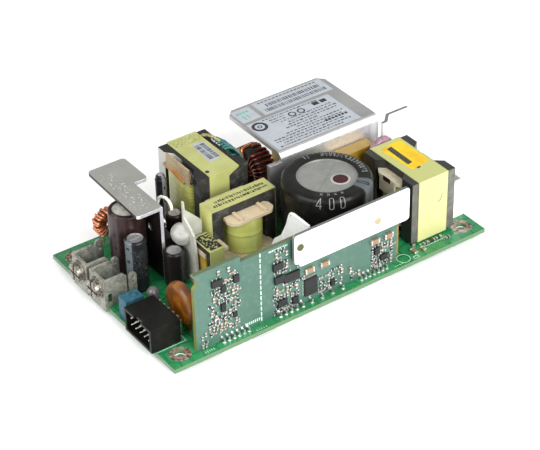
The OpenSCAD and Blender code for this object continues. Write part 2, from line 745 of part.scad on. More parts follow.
// coil former: base with pin rails, tube, two flanges and an upright barrier on each side
main_window = main_core_h - 2 * main_plate;
main_floor = main_h - main_core_h + main_plate;
main_open = main_l - 2 * main_leg - 2 * gap;
module main_bobbin() color([0.87, 0.8, 0.62]) on_board() translate([main_x, main_y, 0]) {
  for (s = [-1, 1]) translate([s * (main_w / 2 - 0.8) - 1.5, -main_open / 2, 0])
    cube([3, main_open, main_foot]);
  translate([-main_w / 2 - 0.7, -main_open / 2, 0]) cube([main_w + 1.4, main_open, main_foot]);
  for (s = [-1, 1]) translate([s * (main_w / 2 + 0.35) - 0.35, -main_open / 2, main_foot])
    cube([0.7, main_open, main_floor + 1 - main_foot]);
  difference() {
    union() {
      translate([0, 0, main_floor]) cylinder(h = main_window, r = 5.6);
      for (z = [main_floor, main_floor + main_window - 1])
        translate([-main_w / 2 - 1.1, -main_open / 2, z]) cube([main_w + 2.2, main_open, 1]);
    }
    translate([0, 0, main_floor - 1]) cylinder(h = main_window + 2, r = 4.5 + 0.1);
  }
  translate([-main_w / 2 - 1.1, -main_open / 2 + 0.2, main_floor + main_window - 1])
    cube([0.7, main_open - 2.4, main_plate + 2.4]);
}

module main_winding() color([0.85, 0.86, 0.42]) on_board()
  translate([main_x, main_y, main_floor + 1]) difference() {
    linear_extrude(main_window - 2) intersection() {
      offset(r = 2.6) square([main_w - 4.4, main_open - 5.8], center = true);
      square([main_w + 0.8, main_open - 0.6], center = true);
    }
    translate([0, 0, -1]) cylinder(h = main_window, r = 5.6);
  }

// tape over the core; on the front it is cut narrower with a slanted edge
module main_tape() color([0.88, 0.9, 0.5]) on_board()
  translate([main_x, main_y, main_h - main_core_h]) difference() {
    tape_band(main_tape_w, main_l, main_core_h, tape_t);
    translate([0, -main_l / 2, 0]) rotate([90, 0, 0]) linear_extrude(1)
      polygon([[main_tape_w / 2, main_core_h - tape_t], [main_tape_w / 2 + 1, main_core_h],
        [main_tape_w / 2 + 1, -1], [main_tape_w / 2 - 4, -1],
        [main_tape_w / 2 - 4, main_core_h - 2.4]]);
  }

// sleeved leads that come out over the right flange and run down to the board
module main_lead_sleeves() color([0.12, 0.45, 0.5]) on_board() for (i = [0:2]) {
  x = main_x + main_w / 2 + 2;
  y = main_y - 3 + 3 * i;
  z = main_floor + main_window + 0.75;
  translate([x, y, 0]) cylinder(h = z, d = 1.4, $fn = 20);
  translate([x, y, z]) sphere(d = 1.4, $fn = 20);
  translate([x, y, z]) rotate([0, -90, 0]) cylinder(h = 2.3, d = 1.4, $fn = 20);
}

// ---- standby transformer ------------------------------------------------------------
standby_core_h = standby_h - standby_foot - tape_t;
standby_floor = standby_h - standby_core_h + standby_plate;
standby_window = standby_core_h - 2 * standby_plate;
standby_open = standby_l - 2 * standby_leg - 2 * gap;
module standby_core() color([0.08, 0.08, 0.09]) on_board()
  translate([standby_x, standby_y, standby_h - standby_core_h]) {
    difference() {
      translate([-standby_l / 2, -standby_w / 2, 0]) cube([standby_l, standby_w, standby_core_h]);
      translate([-standby_l / 2 + standby_leg, -standby_w / 2 - 1, standby_plate])
        cube([standby_l - 2 * standby_leg, standby_w + 2, standby_window]);
    }
    translate([-2.8, -standby_w / 2 + 0.4, standby_plate])
      cube([5.6, standby_w - 0.8, standby_window]);
  }

// flange outline: straight sides with a long wing on the right
module standby_flange(t) linear_extrude(t) offset(r = 1.2) offset(delta = -1.2)
  polygon([[-standby_open / 2, -standby_w / 2 - 0.9], [-standby_open / 2 - 0.5, -standby_w / 2 - 2.6],
    [-standby_open / 2 + 0.3, -standby_w / 2 - 4.6], [-standby_open / 2 + 2.4, -standby_w / 2 - 5.9],
    [standby_open / 2 - 0.9, -standby_w / 2 - 5.7], [standby_open / 2 + 0.9, -standby_w / 2 - 4],
    [standby_open / 2 + 0.8, -standby_w / 2 - 1.4], [standby_open / 2 + 1.2, -standby_w / 2 - 0.3],
    [standby_open / 2, -standby_w / 2 - 0.3], [standby_open / 2, standby_w / 2 + 5],
    [-standby_open / 2, standby_w / 2 + 5]]);

module standby_bobbin() color([0.87, 0.8, 0.66]) on_board() translate([standby_x, standby_y, 0]) {
  difference() {
    union() {
      translate([0, 0, standby_floor]) standby_flange(1.2);
      translate([0, 0, standby_floor + standby_window - 1.2]) standby_flange(1.2);
      translate([-4, -standby_w / 2 - 0.4, standby_floor])
        cube([8, standby_w + 0.8, standby_window]);
      for (s = [-1, 1]) translate([-9, s * 6.6 - 2, 0])
        cube([18, 4, standby_floor]);
    }
    translate([-2.9, -standby_w / 2 + 0.3, standby_floor - 1])
      cube([5.8, standby_w - 0.6, standby_window + 2]);
  }
  for (x = [-5.2, 4.4]) translate([x, -standby_w / 2 - 5.4, standby_floor + standby_window])
    cube([1.1, 5, 1]);
}

module standby_winding() color([0.8, 0.82, 0.4]) on_board()
  translate([standby_x, standby_y, standby_floor + 1.2]) difference() {
    linear_extrude(standby_window - 2.4) for (k = [0]) hull() {
      translate([0, -2.75]) circle(r = standby_r);
      translate([0, 2.75]) circle(r = standby_r);
    }
    translate([-4, -standby_w / 2 - 0.4, -1]) cube([8, standby_w + 0.8, standby_window]);
  }

module standby_tape() color([0.88, 0.9, 0.52]) on_board()
  translate([standby_x, standby_y, standby_h - standby_core_h]) rotate(90)
    tape_band(standby_w, standby_l, standby_core_h, tape_t);

// ---- pulse transformer --------------------------------------------------------------
pulse_core_h = pulse_h - pulse_foot - tape_t;
pulse_floor = pulse_h - pulse_core_h + 1.6;
pulse_window = pulse_core_h - 3.2;
pulse_open = pulse_l - 2 * pulse_leg - 2 * gap;
pulse_ledge = standby_y - standby_w / 2 - tape_t - gap - pulse_y + pulse_open / 2;
module pulse_core() color([0.08, 0.08, 0.09]) on_board()
  translate([pulse_x, pulse_y, pulse_h - pulse_core_h]) {
    difference() {
      translate([-pulse_w / 2, -pulse_l / 2, 0]) cube([pulse_w, pulse_l, pulse_core_h]);
      translate([-pulse_w, -pulse_l / 2 + pulse_leg, 1.6])
        cube([2 * pulse_w, pulse_l - 2 * pulse_leg, pulse_window]);
    }
    translate([-pulse_w / 2 + 0.8, -1.3, 1.6]) cube([pulse_w - 1.6, 2.6, pulse_window]);
  }

// base with pins, two flanges, and the two ledges that stand out on the right
module pulse_bobbin() color([0.88, 0.82, 0.68]) on_board() translate([pulse_x, pulse_y, 0]) {
  translate([-pulse_w / 2 - 0.4, -pulse_open / 2, 0]) cube([pulse_w + 0.8, pulse_open, pulse_foot]);
  difference() {
    union() {
      translate([-pulse_w / 2 - 0.4, -pulse_open / 2, pulse_foot])
        cube([0.4, pulse_open, pulse_floor + 0.8 - pulse_foot]);
      translate([pulse_w / 2, -pulse_open / 2, pulse_foot])
        cube([0.4, pulse_open, pulse_floor + 0.8 - pulse_foot]);
      translate([-pulse_w / 2 - 0.4, -pulse_open / 2, pulse_floor])
        cube([pulse_w + 0.8, pulse_open, 0.8]);
      translate([-pulse_w / 2 - 0.4, -pulse_open / 2, pulse_floor + pulse_window - 1.6])
        cube([pulse_w + 0.8, pulse_open, 1.6]);
      translate([0, -pulse_open / 2, pulse_floor + pulse_window - 1.6])
        cube([pulse_w / 2 + 3, pulse_ledge, 1.2]);
      translate([pulse_w / 2 + 0.3, -pulse_open / 2, pulse_floor + 4.2]) {
        cube([3.5, pulse_ledge, 1]);
        cube([0.4, pulse_ledge, pulse_window - 5]);
      }
      translate([-pulse_w / 2 + 0.2, -1.9, pulse_floor]) cube([pulse_w - 0.4, 3.8, pulse_window]);
    }
    translate([-pulse_w / 2 + 0.7, -1.4, pulse_floor - 1]) cube([pulse_w - 1.4, 2.8, pulse_window + 2]);
  }
}

module pulse_winding() color([0.78, 0.7, 0.25]) on_board()
  translate([pulse_x, pulse_y, pulse_floor + 0.8]) difference() {
    linear_extrude(pulse_window - 2.4) offset(r = 1.2)
      square([pulse_w - 2, pulse_open - 2.8], center = true);
    translate([-pulse_w / 2 + 0.2, -1.9, -1]) cube([pulse_w - 0.4, 3.8, pulse_window]);
  }

module pulse_tape() color([0.9, 0.92, 0.5]) on_board()
  translate([pulse_x + 0.15, pulse_y, pulse_h - pulse_core_h])
    tape_band(pulse_w - 0.3, pulse_l, pulse_core_h, tape_t);

// ---- boost choke --------------------------------------------------------------------
boost_core_h = boost_h - boost_foot - tape_t;
boost_floor = boost_h - boost_core_h + boost_plate;
boost_window = boost_core_h - 2 * boost_plate;
boost_round = boost_l / 2 - boost_leg;
module boost_core() color([0.2, 0.2, 0.2]) on_board()
  translate([boost_x, boost_y, boost_h - boost_core_h]) {
    difference() {
      linear_extrude(boost_core_h) waisted_plan(boost_w, boost_l, 5.6, boost_w - 6.2);
      translate([0, 0, boost_plate]) cylinder(h = boost_window, r = boost_round, $fn = 64);
    }
    translate([0, 0, boost_plate]) cylinder(h = boost_window, r = 5);
  }

module boost_bobbin() color([0.86, 0.82, 0.66]) on_board() translate([boost_x, boost_y, 0]) {
  difference() {
    for (z = [boost_floor, boost_floor + boost_window - 1.2]) translate([0, 0, z])
      intersection() {
        cylinder(h = 1.2, r = boost_round - gap, $fn = 64);
        translate([-boost_w / 2 - 0.6, -20, 0]) cube([boost_w + 1.2, 40, 2]);
      }
    translate([0, 0, boost_floor - 1]) cylinder(h = boost_window + 2, r = 5.1);
  }
  difference() {
    translate([0, 0, boost_floor]) cylinder(h = boost_window, r = 6);
    translate([0, 0, boost_floor - 1]) cylinder(h = boost_window + 2, r = 5.1);
  }
  for (s = [-1, 1]) {
    translate([s * (boost_w / 2 + 0.2) - 0.4, -5, 0]) cube([0.8, 10, boost_floor + 1.2]);
    translate([s * (boost_w / 2 - 1) - 1, -5, 0]) cube([2, 10, boost_foot]);
  }
  translate([-boost_w / 2 - 0.6, -4, boost_floor + boost_window - 6.4])
    cube([0.6, 8, 6.4]);
}

module boost_winding() color([0.72, 0.76, 0.36]) on_board()
  translate([boost_x, boost_y, boost_floor + 1.2]) difference() {
    cylinder(h = boost_window - 2.4, r = boost_w / 2 - 0.1);
    translate([0, 0, -1]) cylinder(h = boost_window, r = 6);
  }

module boost_tape() color([0.9, 0.93, 0.55]) on_board()
  translate([boost_x - 0.35, boost_y, boost_h - boost_core_h])
    tape_band(boost_tape_w, boost_l, boost_core_h, tape_t);

// pins under the four wound parts and the two ring chokes
module transformer_pins() color([0.8, 0.8, 0.78]) on_board() {
  tails(main_pins);
  tails(standby_pins);
  tails(pulse_pins);
  tails(boost_pins);
}

// ---- ring chokes --------------------------------------------------------------------
// upright ring in a moulded foot
module line_core() color([0.12, 0.12, 0.11]) on_board() {
  translate([line_x, line_y, line_z]) rotate([0, 90, 0]) ring_body(line_in, line_r, line_w);
  translate([line_x - 2.4, line_y - 3, 0]) difference() {
    cube([4.8, 6, line_z - line_r + 1]);
    translate([-1, 3, line_z]) rotate([0, 90, 0]) cylinder(h = 8, r = line_r, $fn = 64);
  }
}

module line_winding_front() color([0.45, 0.1, 0.06]) on_board() {
  translate([line_x, line_y, line_z]) rotate([0, 90, 0]) rotate(180)
    ring_turns_arc(line_in, line_r, line_w, wire_d, wire_gap, line_turns, 13, 142);
  tails([line_pins[0], line_pins[2]], 6);
}

module line_winding_rear() color([0.75, 0.35, 0.12]) on_board() {
  translate([line_x, line_y, line_z]) rotate([0, 90, 0]) rotate(180)
    ring_turns_arc(line_in, line_r, line_w, wire_d, wire_gap, line_turns, -142, -13);
  tails([line_pins[1], line_pins[3]], 6);
}

module ring_core() color([0.5, 0.5, 0.3]) on_board() translate([ring_x, ring_y, ring_z])
  rotate([90, 0, 0]) ring_body(ring_in, ring_r, ring_w);

module ring_winding() color([0.75, 0.35, 0.15]) on_board() {
  translate([ring_x, ring_y, ring_z]) rotate([90, 0, 0])
    ring_turns_arc(ring_in, ring_r, ring_w, wire_d * 0.8, wire_gap, ring_turns, -60, 240);
  tails(ring_pins, ring_z - ring_r);
}

// ---- coated parts -------------------------------------------------------------------
// a film capacitor behind the bulk capacitor and a small one behind the control board
module film_capacitors() color([0.83, 0.58, 0.2]) on_board() {
  translate([film_x, film_y, 0.5]) cube([film_l, film_t, film_h - 0.5]);
  tails(film_leads, 1);
  translate([small_film_x, small_film_y, 0.5]) cube([small_film_l, small_film_t, small_film_h]);
  tails(small_film_leads, 1);
}

// coated disc with rounded rim, standing on its leads
module coated_disc(r, t) rotate_extrude() polygon([[0, 0], [r - 1, 0], [r - 0.3, 0.3 * t],
  [r, 0.5 * t], [r - 0.3, 0.7 * t], [r - 1, t], [0, t]]);

module lilac_varistor() color([0.62, 0.45, 0.62]) on_board() {
  translate([lilac_x, lilac_y + lilac_t, lilac_z]) rotate([90, 0, 0]) coated_disc(lilac_r, lilac_t);
  tails(lilac_leads, lilac_z - 0.7 * lilac_r);
}

module disc_varistor() color([0.85, 0.47, 0.1]) on_board() {
  translate([disc_x, disc_y, disc_z]) rotate([0, 90, 0]) coated_disc(disc_r, disc_t);
  tails(disc_leads, disc_z - 0.6 * disc_r);
}

module line_capacitor() color([0.9, 0.8, 0.3]) on_board() {
  translate([xcap_x, xcap_y, 0]) cube([xcap_l, xcap_w, xcap_h]);
  tails(xcap_leads);
}

module input_fuse() color([0.12, 0.12, 0.13]) on_board() {
  translate([fuse_x, fuse_y, 0]) cylinder(h = 8, r = fuse_r);
  tails(fuse_leads);
}

// ---- insulators ---------------------------------------------------------------------
// folded white sheet: a pointed panel along X with a low panel folded towards the front
module insulator_sheet() color([0.9, 0.9, 0.88]) on_board() {
  translate([insulator_x, insulator_y + insulator_t, 0]) rotate([90, 0, 0])
    linear_extrude(insulator_t) polygon([[0, 0], [insulator_l, 0], [insulator_l, insulator_h - 9.7],
      [0.8, insulator_h - 3.2], [0.6, insulator_h], [0, insulator_h]]);
  translate([insulator_x, insulator_y, 0]) rotate([90, 0, -90]) translate([0, 0, -insulator_t])
    linear_extrude(insulator_t) polygon([[0, 0], [0, insulator_h - 6],
      [0.5 * insulator_fold, insulator_h - 8.5], [insulator_fold - 1.4, insulator_h - 10.6],
      [insulator_fold - 0.6, insulator_h - 15], [insulator_fold, insulator_h - 24], [insulator_fold, 0]]);
  tails(insulator_legs, 0, leg_d);
}

// bead of silicone that holds the insulator's edge
module silicone_bead() color([0.92, 0.92, 0.9]) on_board()
  translate([insulator_x, bead_y, bead_z]) rotate([0, -90, 0]) rotate_extrude()
    polygon([[0, 0], [bead_r, 0], [bead_r, 1.4], [0.9 * bead_r, 2.6], [0.62 * bead_r, 3.7],
      [0, 4.3]]);

// white fin that props the control board from behind
module board_gusset() color([0.9, 0.91, 0.89]) on_board() {
  translate([gusset_x, 0, 0]) difference() {
    rotate([90, 0, 90]) linear_extrude(insulator_t)
      polygon([[control_back, 0], [control_back, control_h + 1], [control_back + 8.6, control_h + 1],
        [control_back + 10.2, control_h + 0.5], [control_back + 11, control_h - 1],
        [control_back + 12.4, control_h - 5.4], [control_back + 15.2, control_h - 11],
        [control_back + gusset_l - 1.6, control_h - 14.4], [control_back + gusset_l, control_h - 17.4],
        [control_back + gusset_l, 0]]);
    translate([-1, 14.4, control_h - 0.6]) rotate([0, 90, 0])
      cylinder(h = insulator_t + 2, r = 0.7, $fn = 24);
  }
  tails(gusset_legs, 0, leg_d);
}

// ---- terminals and connectors ---------------------------------------------------------
// folded sheet boxes, open at the top and at the back, with a slot low in each side
module screw_terminal() difference() {
  union() {
    translate([-terminal_t, -terminal_w / 2, -board_t])
      cube([terminal_t, terminal_w, terminal_h + board_t]);
    for (s = [-1, 1]) translate([0, s * (terminal_w - terminal_t) / 2 - terminal_t / 2, 0])
      cube([terminal_l - terminal_t, terminal_t, terminal_h]);
  }
  translate([-terminal_t - 1, 0, terminal_screw_z]) rotate([0, 90, 0])
    cylinder(h = terminal_t + 2, r = screw_r + 0.1);
  translate([0.3, -terminal_w, 1.4]) cube([1.6, 2 * terminal_w, 3.6]);
  for (s = [-1, 1]) translate([terminal_l - terminal_t, s * terminal_w / 2, terminal_h])
    rotate([0, 45, 0]) cube([1.6, 3, 1.6], center = true);
}

module screw_terminals() color([0.72, 0.72, 0.69]) on_board() {
  for (y = terminal_y) translate([0, y, 0]) screw_terminal();
  tails(terminal_pins, 0.4, leg_d);
}

// pan head screws with a captive washer
module terminal_screws() color([0.7, 0.68, 0.64]) on_board() for (y = terminal_y)
  translate([-terminal_t, y, terminal_screw_z]) rotate([0, -90, 0]) difference() {
    union() {
      translate([0, 0, -terminal_t - 1.2]) cylinder(h = terminal_t + 1.2, r = screw_r, $fn = 24);
      cylinder(h = 0.6, r = screw_r + 2.1);
      translate([0, 0, 0.6]) cylinder(h = 1.7, r = screw_r + 1.5);
    }
    translate([-0.45, -5, 1.5]) cube([0.9, 10, 2]);
    translate([-5, -0.45, 1.5]) cube([10, 0.9, 2]);
  }

// upright tabs with two holes each
module sense_tabs() color([0.7, 0.69, 0.64]) on_board() {
  for (i = [0:2]) translate([tab_x[i], tab_y[i], 0]) difference() {
    union() {
      cube([tab_w, 0.8, tab_up - tab_w / 2]);
      translate([tab_w / 2, 0.8, tab_up - tab_w / 2]) rotate([90, 0, 0]) cylinder(h = 0.8, d = tab_w);
    }
    for (z = [3.2, 1.2]) translate([tab_w / 2, -1, tab_up - z - 0.6]) rotate([-90, 0, 0])
      cylinder(h = 3, r = 0.55, $fn = 20);
  }
  tails(tab_pins, 0, leg_d);
}

// square trimming resistor with a slotted rotor in its top
module trimmer() color([0.2, 0.45, 0.6]) on_board() {
  difference() {
    translate([trimmer_x, trimmer_y, 0]) cube([6.7, 4.6, 8]);
    translate([trimmer_x + 4.4, trimmer_y + 2.3, 7.5]) cylinder(h = 1, r = 1.3, $fn = 24);
  }
  tails(trimmer_leads);
}

module indicator_lamp() color([0.85, 0.86, 0.88]) on_board() {
  translate([lamp_x, lamp_y, 0]) rotate_extrude() polygon([[0, 0], [lamp_r + 0.3, 0],
    [lamp_r + 0.3, 0.9], [lamp_r, 0.9], [lamp_r, 6.2], [lamp_r * 0.92, 7.1],
    [lamp_r * 0.7, 7.9], [lamp_r * 0.38, 8.4], [0, 8.6]]);
  tails(lamp_leads);
}

// right angle shroud with a key slot in its top, open towards the board's left edge
header_depth = header_l - 3;
module signal_header() color([0.1, 0.1, 0.1]) on_board() difference() {
  translate([header_x, header_y, 0]) cube([header_l, header_w, header_h]);
  translate([header_x - 1, header_y + header_wall, header_wall])
    cube([header_depth + 1, header_w - 2 * header_wall, header_h - 2 * header_wall]);
  translate([header_x - 1, header_mid - 2, header_h - header_wall - 0.5]) cube([1.8, 4, 2]);
  for (p = header_leads, k = [0, 1]) translate([header_x, p[1] - pin_s / 2, header_row(k) - pin_s / 2])
    cube([header_l + 1, pin_s, pin_s]);
}
function header_row(k) = header_h / 2 - 1.27 + 2.54 * k;

// right angle pins in two rows, and the three upright mains pins
module connector_pins() color([0.8, 0.76, 0.6]) on_board() {
  for (k = [0, 1], i = [0:header_pins - 1]) {
    p = header_leads[i + header_pins * k];
    translate([header_x + header_depth - 3.4, p[1] - pin_s / 2, header_row(k) - pin_s / 2])
      cube([p[0] + pin_s / 2 - header_x - header_depth + 3.4, pin_s, pin_s]);
    translate([p[0] - pin_s / 2, p[1] - pin_s / 2, -under])
      cube([pin_s, pin_s, under + header_row(k)]);
  }
  square_tails(mains_leads, 10);
}

// upright shroud of the mains connector, open at the top, with three pin holes
module mains_connector() color([0.93, 0.93, 0.91]) on_board() difference() {
  translate([mains_x, mains_y, 0]) cube([mains_w, mains_l, mains_h]);
  translate([mains_x + mains_wall, mains_y + mains_wall, 3])
    cube([mains_w - 2 * mains_wall, mains_l - 2 * mains_wall, mains_h]);
  for (p = mains_leads) translate([p[0] - pin_s / 2, p[1] - pin_s / 2, -1]) cube([pin_s, pin_s, 5]);
}

main_board();
control_board();
control_pins();
control_chips();
control_passives();
front_spreader();
front_rivets();
bulk_can();
bulk_sleeve();
output_can();
output_sleeve();
filter_capacitor();
supply_capacitor();
damping_capacitor();
snubber();
main_heatsink();
output_heatsink();
mains_heatsink();
power_devices();
device_screws();
bridge_rectifier();
main_core();
main_bobbin();
main_winding();
main_tape();
main_lead_sleeves();
standby_core();
standby_bobbin();
standby_winding();
standby_tape();
pulse_core();
pulse_bobbin();
pulse_winding();
pulse_tape();
boost_core();
boost_bobbin();
boost_winding();
boost_tape();
transformer_pins();
line_core();
line_winding_front();
line_winding_rear();
ring_core();
ring_winding();
film_capacitors();
lilac_varistor();
disc_varistor();
line_capacitor();
input_fuse();
insulator_sheet();
silicone_bead();
board_gusset();
screw_terminals();
terminal_screws();
sense_tabs();
trimmer();
indicator_lamp();
signal_header();
connector_pins();
mains_connector();
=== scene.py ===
# Open frame power supply: finishes, windings, solder, print and the small parts of the boards.
import math
import random

import bmesh
import bpy
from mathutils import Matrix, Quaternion, Vector


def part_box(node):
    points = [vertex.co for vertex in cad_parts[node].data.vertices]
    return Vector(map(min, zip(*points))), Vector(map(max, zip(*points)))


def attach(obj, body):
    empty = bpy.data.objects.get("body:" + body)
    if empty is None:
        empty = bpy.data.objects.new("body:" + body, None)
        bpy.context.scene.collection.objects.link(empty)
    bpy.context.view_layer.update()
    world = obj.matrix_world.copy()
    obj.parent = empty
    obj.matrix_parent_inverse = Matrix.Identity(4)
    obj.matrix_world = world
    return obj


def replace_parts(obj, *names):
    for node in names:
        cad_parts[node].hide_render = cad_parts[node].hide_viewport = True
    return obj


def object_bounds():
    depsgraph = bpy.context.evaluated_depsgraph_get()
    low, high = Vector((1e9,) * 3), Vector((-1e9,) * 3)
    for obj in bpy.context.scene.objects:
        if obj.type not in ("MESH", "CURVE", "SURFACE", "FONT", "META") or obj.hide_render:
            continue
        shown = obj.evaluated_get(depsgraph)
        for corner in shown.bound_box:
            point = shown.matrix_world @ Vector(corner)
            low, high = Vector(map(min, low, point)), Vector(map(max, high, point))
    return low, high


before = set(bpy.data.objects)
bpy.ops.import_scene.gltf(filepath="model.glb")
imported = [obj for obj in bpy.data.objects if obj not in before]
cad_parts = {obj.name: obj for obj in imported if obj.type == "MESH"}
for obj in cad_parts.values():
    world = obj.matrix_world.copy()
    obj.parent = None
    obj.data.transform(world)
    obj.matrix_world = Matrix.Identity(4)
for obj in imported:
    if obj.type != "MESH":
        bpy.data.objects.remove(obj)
cad_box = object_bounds()

# ---- main board ----
# Glass laminate with a green solder resist, 1.6 mm thick. The resist shows the copper
# tracks as lighter bands, the cut edge is bare laminate, and the corners have tinned rings.
MM = 0.001
board_low, board_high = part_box("main_board")
CORNER = Vector((board_low.x, board_low.y, board_high.z))
board_l = (board_high.x - board_low.x) / MM
board_w = (board_high.y - board_low.y) / MM
board_t = (board_high.z - board_low.z) / MM


def place(x, y, z):
    """A point given in mm from the board's front left top corner."""
    return CORNER + Vector((x, y, z)) * MM


def span(node):
    """Lowest and highest corner of a part, in mm from the board's front left top corner."""
    low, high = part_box(node)
    return (low - CORNER) / MM, (high - CORNER) / MM


def middle_of(node):
    """The middle of a part's box, in mm."""
    low, high = span(node)
    return (low + high) / 2


def solids(node):
    """The separate solids of a part: a list of (lowest, highest) corners in mm."""
    form = bmesh.new()
    form.from_mesh(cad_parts[node].data)
    bmesh.ops.remove_doubles(form, verts=form.verts, dist=1e-6)
    seen = set()
    found = []
    for start in form.verts:
        if start.index in seen:
            continue
        stack = [start]
        seen.add(start.index)
        points = []
        while stack:
            v = stack.pop()
            points.append(v.co)
            for e in v.link_edges:
                w = e.other_vert(v)
                if w.index not in seen:
                    seen.add(w.index)
                    stack.append(w)
        low = Vector([min(p[i] for p in points) for i in range(3)])
        high = Vector([max(p[i] for p in points) for i in range(3)])
        found.append(((low - CORNER) / MM, (high - CORNER) / MM))
    form.free()
    return sorted(found, key=lambda s: (round(s[0].x, 3), round(s[0].y, 3), round(s[0].z, 3)))


sharp_angle = 40


class Form:
    """A piece being made in mesh code, in mm from the board's front left top corner."""

    def __init__(self):
        self.bm = bmesh.new()

    def box(self, low, high):
        """A block between two corners."""
        centre = (Vector(low) + Vector(high)) / 2
        size = Vector(high) - Vector(low)
        for v in bmesh.ops.create_cube(self.bm, size=1)["verts"]:
            v.co = v.co * size + centre

    def ring(self, points):
        """New vertices at the points, for one ring of a skin."""
        return [self.bm.verts.new(p) for p in points]

    def skin(self, rings, closed_ends=True):
        """Faces between rings of equal count."""
        n = len(rings[0])
        for a, b in zip(rings, rings[1:]):
            for i in range(n):
                j = (i + 1) % n
                self.bm.faces.new((a[i], a[j], b[j], b[i]))
        if closed_ends:
            self.bm.faces.new(list(reversed(rings[0])))
            self.bm.faces.new(rings[-1])

    def turned(self, profile, centre, axis="Z", steps=40):
        """A body of revolution: profile is a list of (radius, height) points."""
        rings = []
        centre = Vector(centre)
        for r, h in profile:
            points = []
            for i in range(steps):
                a = 2 * math.pi * i / steps
                p = Vector((max(r, 1e-4) * math.cos(a), max(r, 1e-4) * math.sin(a), h))
                if axis == "X":
                    p = Vector((p.z, p.x, p.y))
                if axis == "Y":
                    p = Vector((p.y, p.z, p.x))
                points.append(p + centre)
            rings.append(self.ring(points))
        self.skin(rings)

    def plate(self, outline, low, high):
        """An outline of points seen from above, drawn from one height to another."""
        self.skin([self.ring([(x, y, z) for x, y in outline]) for z in (low, high)])

    def wire(self, points, radius, sides=8, ends=1.0):
        """A round wire along points, with one smooth frame carried from end to end."""
        points = [Vector(p) for p in points]
        last = len(points) - 1
        tangents = [(points[min(i + 1, last)] - points[max(i - 1, 0)]).normalized()
                    for i in range(last + 1)]
        side = tangents[0].orthogonal().normalized()
        rings = []
        for i in range(last + 1):
            if i:
                side = tangents[i - 1].rotation_difference(tangents[i]) @ side
            other = tangents[i].cross(side)
            r = radius * (ends if i in (0, last) else 1.0)
            rings.append(self.ring([
                points[i] + (side * math.cos(2 * math.pi * k / sides)
                             + other * math.sin(2 * math.pi * k / sides)) * r
                for k in range(sides)]))
        self.skin(rings)

    def piece(self, name, coat, slot, bevel=0.0, smooth=35.0, steps=2):
        """Makes the object, with softened edges, and fixes it to the supply."""
        bmesh.ops.recalc_face_normals(self.bm, faces=self.bm.faces)
        for v in self.bm.verts:
            v.co = v.co * MM + CORNER
        mesh = bpy.data.meshes.new(name)
        self.bm.to_mesh(mesh)
        self.bm.free()
        made = bpy.data.objects.new(name, mesh)
        bpy.context.scene.collection.objects.link(made)
        mesh.materials.append(coat.made)
        if smooth:
            mesh.shade_smooth()
            mesh.set_sharp_from_angle(angle=math.radians(smooth))
        if bevel:
            edge = made.modifiers.new("soft edge", "BEVEL")
            edge.width = bevel * MM
            edge.segments = steps
            edge.limit_method = "ANGLE"
            edge.angle_limit = math.radians(sharp_angle)
        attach(made, "root")
        return made


